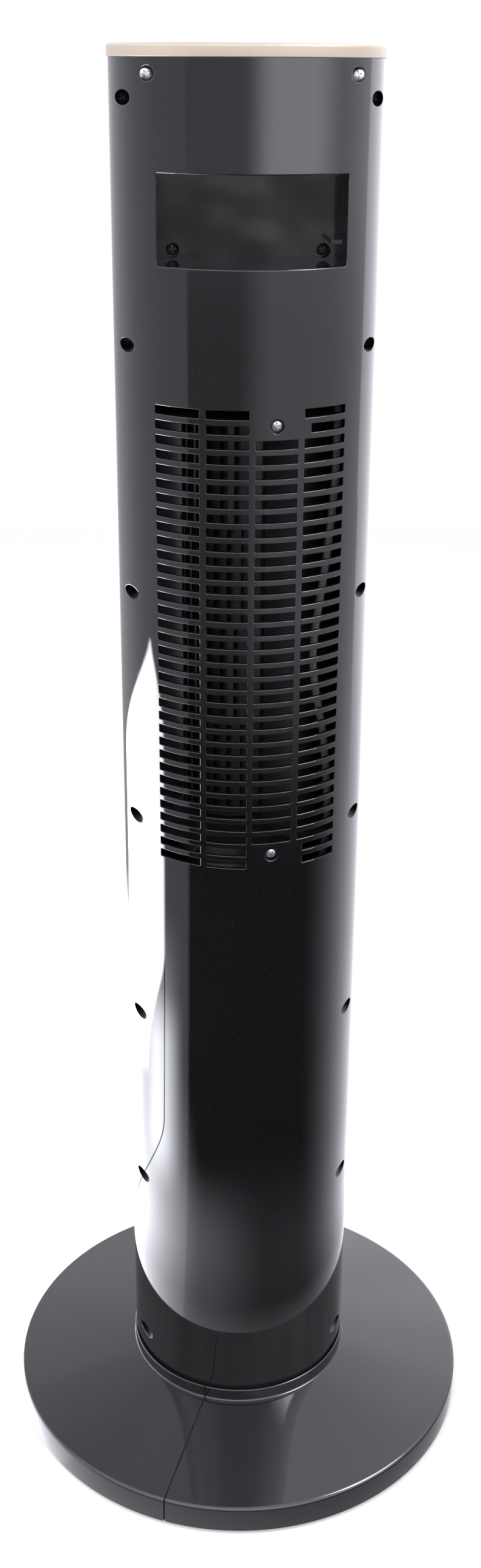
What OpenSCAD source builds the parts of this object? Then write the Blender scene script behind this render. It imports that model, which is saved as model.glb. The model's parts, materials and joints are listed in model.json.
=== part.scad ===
// Tower fan: a tall round column that swings on a two-part disc base, with a cross-flow wheel
// behind a slotted rear shell. Front is -Y, rear is +Y, the floor is z = 0.

/* [Column] */
// Outside diameter of the column
column_d = 160; // [156:1:200]
// Height of the column's shells, from their bottom edge to the cap
column_h = 906; // [740:1:1100]
// Wall thickness of the column's shells
shell_wall = 2.5; // [2:0.1:3]
// Gap left along the line where the two shells meet
shell_gap = 0.3; // [0.2:0.1:0.6]

/* [Base] */
// Outside diameter of the base
base_d = 340; // [280:1:420]
// Height of the base's upright rim
rim_h = 19.5; // [14:0.5:26]
// Rise of the base's top from the rim to the collar
dome_rise = 15.5; // [10:0.5:22]
// Height of the collar round the column's foot
collar_h = 9.5; // [6:0.5:12]
// Wall thickness of the base
base_wall = 2.8; // [2.2:0.1:3.4]
// Radius on the base's upper edge
edge_r = 3; // [1.5:0.5:4]
// How far the rubber feet lift the rim off the floor
foot_lift = 3; // [2:0.5:6]
// Number of rubber feet
foot_count = 8; // [6:2:10]

/* [Swing] */
// Total swing of the column on its base, in degrees
swing = 70; // [50:1:75]
// How far the column stands turned from the base's own front, in degrees
parked = 21; // [-20:1:24]
// Distance from the column's axis to the swing motor's shaft
crank_at = 42; // [40:1:44]
// Turns of the crank for one turn of the column
crank_ratio = 3; // [2.8:0.1:3.1]

/* [Rear grille] */
// Number of rows of slots
slot_rows = 34; // [26:1:38]
// Distance from one row to the next
slot_pitch = 8.7; // [7.5:0.1:10.5]
// Height of a slot
slot_h = 5.2; // [4:0.1:6]
// Width of a slot
slot_w = 25; // [20:0.5:26]
// Width of the upright ribs between the slots
slot_rib = 3.9; // [3:0.1:4.2]
// Distance from the column's top edge down to the first row
grille_drop = 186.7; // [165:1:230]

/* [Handle] */
// Width of the handle recess
handle_w = 107.5; // [90:0.5:108]
// Height of the handle recess
handle_h = 49.5; // [40:0.5:62]
// Distance from the column's axis to the recess's back wall
handle_back = 23; // [18:1:30]
// Distance from the column's top edge down to the recess
handle_drop = 59.3; // [56:0.1:66]
// Wall thickness of the handle cup
cup_wall = 2; // [1.6:0.1:2.6]

/* [Fan wheel] */
// Diameter of the cross-flow wheel
wheel_d = 64; // [54:1:78]
// Blades round the wheel
blade_count = 22; // [18:1:28]
// Segments along the wheel
wheel_segments = 4; // [3:1:5]

/* [Cap and controls] */
// Height of the cap's rim
cap_h = 7; // [6:0.5:9]
// How far the cap stands out past the column
cap_lip = 0.7; // [0.3:0.1:1.5]
// Diameter of the round control panel let into the cap
panel_d = 136; // [128:1:140]
// Diameter of a button
button_d = 12.8; // [10:0.2:15]
// Travel of a button
button_travel = 1; // [0.6:0.1:1.2]

/* [Hidden] */
$fn = 128;

// Clearances
fit_gap = 0.3;        // between pieces that slide or drop into each other
bearing_gap = 0.08;   // between a shaft and its bearing, on the radius
bury = 1;             // how far a rib or boss runs into the wall that carries it
over = 1;             // how far a cutter runs past what it cuts

// Screws: pan heads with a cross recess, in plain pilot holes
head_r = 3.7;
head_h = 2.4;
shank_r = 1.5;
pilot_r = shank_r + 0.1;
clear_r = shank_r + 0.5;
well_r = head_r + 0.45;

// Base and neck
base_r = base_d / 2;
rim_z0 = foot_lift;
rim_z1 = rim_z0 + rim_h;
dome_z = rim_z1 + dome_rise;
collar_z = dome_z + collar_h;
column_r = column_d / 2;
column_ri = column_r - shell_wall;
collar_ro = column_r + 1;
collar_ri = collar_ro - base_wall;
dome_slope = atan(dome_rise / (base_r - edge_r - collar_ro));
ledge_t = 3;
ledge_z = rim_z0 + 6;
ledge_ri = column_r - 20;
seam_gap = 0.6;
neck_ro = collar_ri - fit_gap;
neck_wall = 3;
neck_z0 = ledge_z + ledge_t;
web_t = 4;
web_z = neck_z0 + 12;
web_top = web_z + web_t;
flange_t = 4;
flange_z = collar_z - 1.5;
neck_top = flange_z + flange_t;
slip_t = 1.5;
column_z = neck_top + slip_t + fit_gap;
hub_r = 13;
hub_ri = 8;
neck_screw_r = column_r - 12;
neck_screws = 6;
foot_r = 10;
foot_ring = base_r - 24;
foot_seat = 1.5;
foot_boss_z = rim_z0 + 1.5;
rib_count = 12;
rib_t = 2;
cord_notch_r = 5;
clamp_y = -40;
clamp_screw_x = 9;
clamp_h = 10;
cord_r = 3.4;

// Column foot and swing drive. The crank's pin runs in a straight fork on the neck
plate_t = 3;
plate_z = column_z;
lug_t = 3;
crank_e = crank_at * sin(swing / 2);
crank_turn = -crank_ratio * parked;
crank_t = 5;
crank_z = web_top + 10;
pin_r = 2.5;
fork_gap = pin_r + 2;
fork_h = 7;
fork_t = 2.5;
pin_bottom = web_top + 1.5;
sweep_can_r = 24.5;
sweep_can_h = 20;
sweep_ear = 30;
sweep_shaft_r = 3;
retainer_t = 2;

// Column levels
column_top = column_z + column_h;
cap_top = column_top + cap_h;
cap_r = column_r + cap_lip;
side_x = column_r - 8.4;
side_boss_r = 7;
side_seat = 14;
side_first = 21;
side_last = 15.5;
side_steps = [135, 151, 152.5, 150, 137.5, 143.5];
side_span = column_h - side_first - side_last;
step_sum = sum_to(side_steps, len(side_steps));
side_z = [for (i = [0 : len(side_steps)])
    column_top - side_first - side_span * sum_to(side_steps, i) / step_sum];
top_x = 58;
top_z = column_top - 8.5;
top_boss_r = 6.5;
top_surface = sqrt(pow(column_r, 2) - pow(top_x, 2));
top_seat = top_surface - 5.5;
top_boss_y = top_seat - 4.5;

// Rear grille
slot_cols = 4;
grille_z1 = column_top - grille_drop;
grille_z0 = grille_z1 - slot_pitch * (slot_rows - 1) - slot_h;
duct_col = 2;
duct_x = slot_x(duct_col);
duct_screw_z = [grille_z1 - 9.2, grille_z0 + 8.8];
duct_seat = sqrt(pow(column_r, 2) - pow(duct_x, 2)) - 5;
duct_boss_y = duct_seat - 3.5;
duct_boss_r = 6.5;

// Fan wheel, its duct and its motor
wheel_r = wheel_d / 2;
wheel_x = 8;
wheel_y = 6;
wheel_z1 = grille_z1 - 14;
wheel_z0 = grille_z0 + 19;
disc_t = 2;
disc_edge = 0.6;
segment_h = (wheel_z1 - wheel_z0 - disc_t) / wheel_segments;
blade_inner = 0.76;
blade_t = 1;
blade_lean = 16;
end_gap = 4;
duct_t = 3;
duct_top_z = wheel_z1 + end_gap;
duct_bottom_z = wheel_z0 - end_gap - duct_t;
duct_r = column_ri - 3.7;
duct_half_w = side_x - side_boss_r - 2;
duct_wall = 2;
scroll_from = 122;
scroll_gap = 5.5;
outlet_x = 48;
outlet_y = -sqrt(pow(duct_r - 1.6, 2) - pow(outlet_x, 2));
scroll_end_r = norm([outlet_x + 1 + wheel_x, outlet_y - wheel_y]);
tongue_a = -30;
tongue_gap = 3.5;
loom_hole = [-54, 38];
loom_hole_r = 8;
wheel_pin_r = 2.5;
bearing_r = 9;
bearing_h = 8;
sleeve_r = 5;
motor_r = 34;
motor_shaft_r = 3;
standoff_h = 11;
grommet_h = 3;
ear_ring = motor_r + 4;
ear_t = 3;
bell_h = 14;
stack_h = 17;
bell_low_h = 12;
bell_wall = 3;
motor_z1 = duct_bottom_z - standoff_h - grommet_h;
stack_z1 = motor_z1 - bell_h;
stack_z0 = stack_z1 - stack_h;
motor_z0 = stack_z0 - bell_low_h;
rotor_r = 19.2;
stator_ri = rotor_r + 0.4;

// Front
outlet_z0 = duct_bottom_z + duct_t;
outlet_z1 = duct_top_z;
outlet_w = 2 * (outlet_x + 8);
bar_w = 2;
bar_count = 15;
cross_bars = 5;
frame_w = 5;
tuck = 3;
window_w = 50;
window_h = 24;
window_z = column_top - 46;
display_y = sqrt(pow(column_ri, 2) - pow(window_w / 2, 2)) - 9;
display_boss_x = window_w / 2 + 7;
display_boss_r = 3.5;

// Handle cup
handle_z1 = column_top - handle_drop;
handle_z0 = handle_z1 - handle_h;
cup_screw_x = handle_w / 2 - 9.5;
cup_screw_z = handle_z0 + 5;
cup_seat = handle_back - 9;
cup_boss_r = 6.2;
cup_boss_y = cup_seat - 2;
grip_ribs = 17;
grip_pitch = 5.9;
grip_rib_h = 0.9;
shelf_w = 8;
shelf_t = 2.4;
shelf_up = 11;
shelf_depth = 26;
grip_rib_w = 1;
grip_rib_l = 34;

// Cap, panel and controls
ledge_in = 5;
panel_t = 3;
panel_r = panel_d / 2;
panel_z = cap_top - panel_t;
cap_ledge_t = 2;
skirt_h = 10;
skirt_t = 2.4;
button_ring = 45;
button_step = 22;
button_r = button_d / 2;
button_proud = 0.8;
flange_lip = 1.5;
button_flange_t = 2.4;
switch_h = 3.4;
plunger_h = 1.2;
stem_gap = 0.4;
board_t = 1.6;
flange_z1 = panel_z - fit_gap;
stem_z = flange_z1 - button_flange_t - 1.2;
board_top = stem_z - button_travel - stem_gap - switch_h - plunger_h;
board_z = board_top - board_t;
board_r = 58;
board_back = 8;
board_screw_at = [[46, -28], [-46, -28], [24, 2], [-24, 2]];

// Wiring loom: its route down the column
loom_r = 2.5;
loom_route = [
    [-44, 3, board_z - stem_gap], [-44, 3, board_z - 10], [-47, 6, board_z - 26],
    [-51, 9, handle_z1], [-55, 9, handle_z0 + 10], [-56, 12, handle_z0 - 30],
    [-56, 22, grille_z1 + 45], [-55, 32, grille_z1 + 18], [-54, 38, grille_z1 - 8],
    [-53, 41, grille_z1 - 50], [-48, 46, grille_z1 - 100], [-43, 48, grille_z1 - 135],
    [-41, 49, grille_z1 - 160], [-44, 47, grille_z1 - 185], [-50, 42, grille_z0 + 75],
    [-54, 38, grille_z0 + 30], [-54, 38, grille_z0 + 8], [-52, 34, grille_z0 - 15],
    [-48, 26, motor_z0 - 5], [-34, 12, motor_z0 - 60], [-12, 4, motor_z0 - 150],
    [0, 0, plate_z + 110], [0, 0, plate_z + 50], [0, 0, column_z - 26]
];
loom_steps = 3;
loom_sides = 8;

// Sums the first n numbers of a list
function sum_to(list, n) = n == 0 ? 0 : list[n - 1] + sum_to(list, n - 1);

// Middle of a column of slots; column 0 is on the +X side
function slot_x(col) = (1.5 - col) * (slot_w + slot_rib);

// Point at a radius and an angle
function polar(r, a) = [r * cos(a), r * sin(a)];

// Unit vector
function unit(v) = v / norm(v);

// Outline of a thin wall of thickness t along a flat path
function strip(path, t) = let (n = len(path)) concat(
    [for (i = [0 : n - 1]) path[i] + strip_normal(path, i) * t / 2],
    [for (i = [n - 1 : -1 : 0]) path[i] - strip_normal(path, i) * t / 2]);
function strip_normal(path, i) = let (
    n = len(path),
    d = unit(path[min(i + 1, n - 1)] - path[max(i - 1, 0)])) [-d[1], d[0]];

// Point on a smooth curve through a route, u running from 0 to 1 between points i and i + 1
function on_route(p, i, u) = let (
    n = len(p),
    a = p[max(i - 1, 0)],
    b = p[i],
    c = p[min(i + 1, n - 1)],
    d = p[min(i + 2, n - 1)])
    0.5 * (2 * b + (c - a) * u + (2 * a - 5 * b + 4 * c - d) * u * u + (3 * b - a - 3 * c + d) * u * u * u);
function smooth_route(p, steps) = [
    for (i = [0 : len(p) - 2], k = [0 : steps - 1]) on_route(p, i, k / steps),
    p[len(p) - 1]];

// Tube swept along a path that runs mostly up and down
module swept_tube(path, r, sides) {
    n = len(path);
    rings = [for (i = [0 : n - 1])
        let (
            t = unit(path[min(i + 1, n - 1)] - path[max(i - 1, 0)]),
            u = unit(cross(t, [1, 0, 0])),
            v = cross(t, u))
        for (k = [0 : sides - 1]) path[i] + r * (cos(360 * k / sides) * u + sin(360 * k / sides) * v)];
    walls = [for (i = [0 : n - 2], k = [0 : sides - 1])
        let (
            a = i * sides + k,
            b = i * sides + (k + 1) % sides)
        each [[a, a + sides, b], [b, a + sides, b + sides]]];
    ends = [
        [for (k = [0 : sides - 1]) k],
        [for (k = [sides - 1 : -1 : 0]) (n - 1) * sides + k]];
    polyhedron(points = rings, faces = concat(walls, ends));
}

module tube(r_out, r_in, h) {
    difference() {
        cylinder(r = r_out, h = h);
        translate([0, 0, -over]) cylinder(r = r_in, h = h + 2 * over);
    }
}

// Turns +Z to +Y
module along_y() {
    rotate([-90, 0, 0]) children();
}

// Turns the base's own front to where it stands under the parked column
module as_parked() {
    rotate([0, 0, -parked]) children();
}

// Moves to the wheel's axis
module at_wheel() {
    translate([wheel_x, wheel_y, 0]) children();
}

// Screw with its head's seat at z = 0 and its shank pointing down
module pan_screw(shank, r = head_r, h = head_h, core = shank_r) {
    slot = 0.28 * r;
    difference() {
        union() {
            cylinder(r = r, h = 0.6 * h, $fn = 48);
            translate([0, 0, 0.6 * h]) cylinder(r1 = r, r2 = 0.72 * r, h = 0.4 * h, $fn = 48);
            translate([0, 0, -shank]) cylinder(r = core, h = shank + 0.1, $fn = 32);
        }
        translate([0, 0, h]) cube([1.2 * r, slot, h], center = true);
        translate([0, 0, h]) cube([slot, 1.2 * r, h], center = true);
    }
}

// ---- Base ----

module under_dome() {
    mid = base_wall / 2;
    rotate_extrude()
        polygon([
            [collar_ro - mid, rim_z0 + over], [collar_ro - mid, dome_z - mid],
            [base_r - edge_r, rim_z1 - mid], [base_r - mid, rim_z1 - edge_r], [base_r - mid, rim_z0 + over]]);
}

module base_skin() {
    drop = base_wall / cos(dome_slope);
    edge = [for (i = [0 : 6]) let (a = i * (90 - dome_slope) / 6)
        [base_r - edge_r, rim_z1 - edge_r] + polar(edge_r, a)];
    rotate_extrude()
        polygon(concat(
            [[base_r, rim_z0]], edge,
            [[collar_ro, dome_z], [collar_ro, collar_z - 1], [collar_ro - 1, collar_z], [collar_ri, collar_z],
                [collar_ri, neck_z0], [ledge_ri, neck_z0], [ledge_ri, ledge_z], [collar_ro, ledge_z],
                [collar_ro, dome_z - drop], [base_r - base_wall, rim_z1 - drop],
                [base_r - base_wall, rim_z0]]));
}

// Half of the base, on the side that side = 1 or -1 gives in the base's own frame
module base_half(side) {
    reach = base_r + over;
    as_parked() difference() {
        union() {
            base_skin();
            intersection() {
                under_dome();
                union() {
                    for (i = [0 : rib_count - 1]) rotate(360 * (i + 0.5) / rib_count)
                        translate([collar_ro - bury, -rib_t / 2, rim_z0 + 2])
                            cube([base_r - collar_ro, rib_t, dome_z]);
                    for (i = [0 : foot_count - 1]) rotate(360 * (i + 0.5) / foot_count)
                        translate([foot_ring, 0, foot_boss_z]) cylinder(r = foot_r + 2.5, h = dome_z);
                }
            }
        }
        translate([side > 0 ? -reach : -seam_gap / 2, -reach, -over])
            cube([reach + seam_gap / 2, 2 * reach, collar_z + 2 * over]);
        for (i = [0 : foot_count - 1]) rotate(360 * (i + 0.5) / foot_count)
            translate([foot_ring, 0, 0]) cylinder(r = foot_r + fit_gap / 2, h = foot_boss_z + foot_seat);
        for (i = [0 : neck_screws - 1]) rotate(360 * (i + 0.5) / neck_screws)
            translate([neck_screw_r, 0, ledge_z - over]) cylinder(r = clear_r, h = ledge_t + 2 * over);
        translate([0, -base_r - over, rim_z0 + cord_notch_r]) along_y()
            cylinder(r = cord_notch_r, h = 2 * base_wall + over);
        translate([-cord_notch_r, -base_r - over, 0])
            cube([2 * cord_notch_r, 2 * base_wall + over, rim_z0 + cord_notch_r]);
    }
}

module base_left() {
    color("#17171a") base_half(-1);
}

module base_right() {
    color("#17171a") base_half(1);
}

module base_feet() {
    color("#222222") as_parked()
        for (i = [0 : foot_count - 1]) rotate(360 * (i + 0.5) / foot_count)
            translate([foot_ring, 0, 0]) cylinder(r = foot_r, h = foot_boss_z + foot_seat);
}

module base_screws() {
    color("silver") as_parked()
        for (i = [0 : neck_screws - 1]) rotate(360 * (i + 0.5) / neck_screws)
            translate([neck_screw_r, 0, ledge_z]) rotate([180, 0, 0]) pan_screw(ledge_t + 9);
}

// Fixed cup that carries the column: a web with the bearing, a fork for the crank's pin and a top flange
module neck() {
    wall_ri = neck_ro - neck_wall;
    fork_from = hub_r + 4;
    color("#1a1a1c") as_parked() difference() {
        union() {
            translate([0, 0, neck_z0]) tube(neck_ro, wall_ri, flange_z - neck_z0 + bury);
            translate([0, 0, web_z]) cylinder(r = neck_ro - bury, h = web_t);
            translate([0, 0, flange_z]) tube(column_r - 4, column_r - 22, flange_t);
            for (i = [0 : neck_screws - 1]) rotate(360 * (i + 0.5) / neck_screws)
                translate([neck_screw_r, 0, neck_z0]) cylinder(r = 5, h = web_z - neck_z0 + bury);
            for (s = [-1, 1]) rotate(-90)
                translate([fork_from, s * (fork_gap + fork_t / 2) - fork_t / 2, web_top - bury])
                    cube([wall_ri - fork_from + bury, fork_t, fork_h + bury]);
        }
        translate([0, 0, web_z - over]) cylinder(r = hub_r + bearing_gap, h = web_t + 2 * over);
        for (i = [0 : neck_screws - 1]) rotate(360 * (i + 0.5) / neck_screws)
            translate([neck_screw_r, 0, neck_z0 - over]) cylinder(r = pilot_r, h = 11 + over);
        for (s = [-1, 1]) translate([s * clamp_screw_x, clamp_y, web_z - over])
            cylinder(r = pilot_r, h = web_t + 2 * over);
    }
}

module slip_ring() {
    color("ivory") translate([0, 0, neck_top]) tube(column_r - 8, column_r - 18, slip_t);
}

// Strain relief for the mains lead, hung under the neck's web
module cord_clamp() {
    color("#202022") as_parked() translate([0, clamp_y, web_z - clamp_h]) difference() {
        translate([-13, -6, 0]) cube([26, 12, clamp_h]);
        translate([0, -6 - over, clamp_h / 2]) along_y() cylinder(r = cord_r, h = 12 + 2 * over, $fn = 48);
        for (s = [-1, 1]) translate([s * clamp_screw_x, 0, -over])
            cylinder(r = clear_r, h = clamp_h + 2 * over, $fn = 32);
    }
}

module clamp_screws() {
    color("silver") as_parked()
        for (s = [-1, 1]) translate([s * clamp_screw_x, clamp_y, web_z - clamp_h])
            rotate([180, 0, 0]) pan_screw(clamp_h + 3);
}

// ---- Column foot and swing drive ----

module column_foot() {
    lug_x = side_x - 7;
    lug_w = column_ri - fit_gap - lug_x - 0.1;
    color("#1c1c1f") difference() {
        union() {
            translate([0, 0, plate_z]) cylinder(r = column_ri - fit_gap, h = plate_t);
            translate([0, 0, web_z - fit_gap]) cylinder(r = hub_r, h = plate_z - web_z + fit_gap + bury);
            translate([0, 0, plate_z + plate_t - bury]) tube(hub_r + 2, hub_ri, 8);
            for (s = [-1, 1])
                translate([s > 0 ? lug_x : -lug_x - lug_w, -lug_t / 2, plate_z + plate_t - bury])
                cube([lug_w, lug_t, side_z[6] - plate_z + 4]);
            for (s = [-1, 1]) translate([s * sweep_ear, -crank_at, plate_z])
                cylinder(r = 4.5, h = plate_t + 2);
            for (a = [40 : 20 : 140]) rotate(a) translate([hub_r + 1, -1, plate_z + plate_t - bury])
                cube([column_ri - hub_r - 8, 2, 6]);
        }
        translate([0, 0, web_z - 2]) cylinder(r = hub_ri, h = plate_z - web_z + 20);
        translate([0, -crank_at, plate_z - over]) cylinder(r = 8, h = plate_t + 2 * over);
        for (s = [-1, 1]) translate([s * sweep_ear, -crank_at, plate_z - over])
            cylinder(r = pilot_r, h = plate_t + 4);
        for (s = [-1, 1]) translate([s * side_x, -lug_t, side_z[6]]) along_y()
            cylinder(r = clear_r, h = 2 * lug_t);
        for (i = [0 : 2]) rotate(120 * i) translate([(hub_r + hub_ri) / 2, 0, web_z - over])
            cylinder(r = 0.9, h = 8, $fn = 24);
    }
}

module hub_retainer() {
    color("silver") translate([0, 0, web_z - fit_gap - retainer_t]) difference() {
        tube(hub_r + 8, hub_ri, retainer_t);
        for (i = [0 : 2]) rotate(120 * i) translate([(hub_r + hub_ri) / 2, 0, -over])
            cylinder(r = 1, h = retainer_t + 2 * over, $fn = 24);
    }
}

module retainer_screws() {
    color("silver") for (i = [0 : 2]) rotate(120 * i)
        translate([(hub_r + hub_ri) / 2, 0, web_z - fit_gap - retainer_t])
            rotate([180, 0, 0]) pan_screw(7, r = 2.2, h = 1.4, core = 0.8);
}

module sweep_motor() {
    ear_z = plate_z + plate_t + 2;
    color("#b9bcc0") translate([0, -crank_at, 0]) difference() {
        union() {
            translate([0, 0, plate_z + plate_t + 0.2]) cylinder(r = sweep_can_r, h = sweep_can_h);
            translate([-sweep_ear - 4, -4, ear_z]) cube([2 * sweep_ear + 8, 8, 1.2]);
        }
        translate([0, 0, plate_z]) cylinder(r = sweep_shaft_r + bearing_gap, h = plate_t + 12);
        for (s = [-1, 1]) translate([s * sweep_ear, 0, ear_z - over]) cylinder(r = clear_r, h = 4);
    }
}

module sweep_screws() {
    color("silver") for (s = [-1, 1])
        translate([s * sweep_ear, -crank_at, plate_z + plate_t + 3.2]) pan_screw(5.5, r = 3, h = 2);
}

module sweep_shaft() {
    color("#d8d8d8") translate([0, -crank_at, crank_z + 1])
        cylinder(r = sweep_shaft_r, h = plate_z + plate_t + 9 - crank_z);
}

// Crank on the swing motor's shaft; its pin hangs into the neck's fork
module crank_arm() {
    color("#e8e6df") translate([0, -crank_at, 0]) rotate(-90 + crank_turn) difference() {
        union() {
            translate([0, 0, crank_z]) cylinder(r = 8, h = crank_t);
            translate([0, -4, crank_z]) cube([crank_e, 8, crank_t]);
            translate([crank_e, 0, crank_z]) cylinder(r = 4, h = crank_t);
            translate([crank_e, 0, pin_bottom]) cylinder(r = pin_r, h = crank_z - pin_bottom + bury);
            translate([0, 0, crank_z + crank_t - bury]) cylinder(r = 6, h = 3);
        }
        translate([0, 0, crank_z + 1]) cylinder(r = sweep_shaft_r, h = crank_t + 4);
    }
}

// ---- Column shells ----

// Half of the column's tube; side = 1 is the rear
module half_tube(side) {
    translate([0, 0, column_z]) difference() {
        tube(column_r, column_ri, column_h);
        translate([-column_r - over, side > 0 ? -column_r - over : -shell_gap / 2, -over])
            cube([2 * (column_r + over), column_r + over + shell_gap / 2, column_h + 2 * over]);
    }
}

// Round boss along Y between y0 and y1, kept inside the column's wall
module wall_boss(x, z, r, y0, y1) {
    intersection() {
        translate([x, y0, z]) along_y() cylinder(r = r, h = y1 - y0);
        translate([0, 0, z - r - over]) cylinder(r = column_r - shell_wall / 2, h = 2 * (r + over));
    }
}

// Where the side bosses end, short of the seam or of the foot's lug
function boss_end(i) = i == len(side_z) - 1 ? lug_t / 2 + fit_gap / 2 : shell_gap / 2;

// Slots of one row and column, as cutters; some are shortened beside the screw bosses
module slot_cut(row, col) {
    short = col == duct_col + 1 && (row == 1 || row >= slot_rows - 2) ? 4 : 0;
    x0 = slot_x(col) - slot_w / 2;
    z0 = grille_z1 - slot_h - row * slot_pitch;
    translate([x0, column_r / 2, z0]) cube([slot_w - short, column_r, slot_h]);
}

function has_slot(row, col) = col != duct_col || (row > 1 && row < slot_rows - 2);

module rear_shell() {
    color("#121214") difference() {
        union() {
            half_tube(1);
            for (s = [-1, 1], i = [0 : len(side_z) - 1])
                wall_boss(s * side_x, side_z[i], side_boss_r, boss_end(i), column_r);
            for (s = [-1, 1]) wall_boss(s * top_x, top_z, top_boss_r, top_boss_y, column_r);
            for (z = duct_screw_z) wall_boss(duct_x, z, duct_boss_r, duct_boss_y, column_r);
        }
        for (s = [-1, 1], z = side_z) {
            translate([s * side_x, side_seat, z]) along_y() cylinder(r = well_r, h = column_r);
            translate([s * side_x, -over, z]) along_y() cylinder(r = clear_r, h = side_seat + 2 * over);
        }
        for (s = [-1, 1]) {
            translate([s * top_x, top_seat, top_z]) along_y() cylinder(r = well_r, h = column_r);
            translate([s * top_x, top_boss_y - over, top_z]) along_y() cylinder(r = clear_r, h = 10);
        }
        for (z = duct_screw_z) {
            translate([duct_x, duct_seat, z]) along_y() cylinder(r = well_r, h = column_r);
            translate([duct_x, duct_boss_y - over, z]) along_y() cylinder(r = clear_r, h = 10);
        }
        for (row = [0 : slot_rows - 1], col = [0 : slot_cols - 1])
            if (has_slot(row, col)) slot_cut(row, col);
        translate([-handle_w / 2, handle_back, handle_z0]) cube([handle_w, column_r, handle_h]);
    }
}

module front_shell() {
    post_from = -sqrt(pow(column_ri, 2) - pow(cup_screw_x, 2)) - bury;
    display_from = -sqrt(pow(column_ri, 2) - pow(display_boss_x, 2)) - bury;
    color("#121214") difference() {
        union() {
            half_tube(-1);
            for (s = [-1, 1], i = [0 : len(side_z) - 1])
                mirror([0, 1, 0]) wall_boss(s * side_x, side_z[i], side_boss_r, boss_end(i), 32);
            for (s = [-1, 1]) translate([s * cup_screw_x, post_from, cup_screw_z]) along_y()
                cylinder(r = 4.5, h = cup_boss_y - fit_gap / 2 - post_from);
            for (s = [-1, 1]) translate([s * display_boss_x, display_from, window_z]) along_y()
                cylinder(r = display_boss_r, h = -display_y - display_from);
        }
        for (s = [-1, 1], z = side_z) translate([s * side_x, -22, z]) along_y() cylinder(r = pilot_r, h = 24);
        for (s = [-1, 1]) translate([s * cup_screw_x, cup_boss_y - 20, cup_screw_z]) along_y()
            cylinder(r = pilot_r, h = 22);
        for (s = [-1, 1]) translate([s * display_boss_x, display_from + 2.5, window_z]) along_y()
            cylinder(r = 1.1, h = column_r, $fn = 24);
        translate([-outlet_w / 2, -column_r - over, outlet_z0])
            cube([outlet_w, column_r / 2, outlet_z1 - outlet_z0]);
        translate([-window_w / 2, -column_r - over, window_z - window_h / 2])
            cube([window_w, column_r / 3, window_h]);
    }
}

module shell_screws() {
    color("silver") for (s = [-1, 1], z = side_z)
        translate([s * side_x, side_seat, z]) along_y() pan_screw(side_seat + 15);
}

module top_screws() {
    color("silver") for (s = [-1, 1]) translate([s * top_x, top_seat, top_z]) along_y() pan_screw(14);
}

// Piece of the column's wall between two radii, half a width each side of the front, as a cutting form
module wall_piece(r_out, r_in, w, z0, z1) {
    intersection() {
        translate([0, 0, z0]) tube(r_out, r_in, z1 - z0);
        translate([-w / 2, -column_r - over, z0 - over]) cube([w, column_r, z1 - z0 + 2 * over]);
    }
}

module front_grille() {
    inner_w = outlet_w - 2 * fit_gap;
    z0 = outlet_z0 + fit_gap;
    z1 = outlet_z1 - fit_gap;
    r_out = column_r - fit_gap;
    r_in = column_ri - tuck;
    pitch = (inner_w - 2 * frame_w - bar_w) / (bar_count + 1);
    rise = (z1 - z0 - 2 * frame_w) / (cross_bars + 1);
    color("#19191b") union() {
        difference() {
            wall_piece(r_out, r_in, inner_w, z0, z1);
            translate([-inner_w / 2 + frame_w, -column_r - over, z0 + frame_w])
                cube([inner_w - 2 * frame_w, column_r, z1 - z0 - 2 * frame_w]);
        }
        difference() {
            wall_piece(column_ri - fit_gap, r_in, inner_w + 2 * tuck, z0 - tuck, z1 + tuck);
            translate([-inner_w / 2 + bury, -column_r - over, z0 + bury])
                cube([inner_w - 2 * bury, column_r, z1 - z0 - 2 * bury]);
        }
        intersection() {
            translate([0, 0, z0 + bury]) tube(r_out - 0.4, r_in + 1, z1 - z0 - 2 * bury);
            for (i = [1 : bar_count])
                translate([-inner_w / 2 + frame_w + i * pitch, -column_r, z0 + bury])
                    cube([bar_w, column_r - over, z1 - z0 - 2 * bury]);
        }
        intersection() {
            translate([0, 0, z0 + bury]) tube(r_out - 1.2, r_in + 0.5, z1 - z0 - 2 * bury);
            for (i = [1 : cross_bars])
                translate([-inner_w / 2 + bury, -column_r, z0 + frame_w + i * rise - bar_w / 2])
                    cube([inner_w - 2 * bury, column_r - over, bar_w]);
        }
    }
}

// ---- Handle ----

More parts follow.
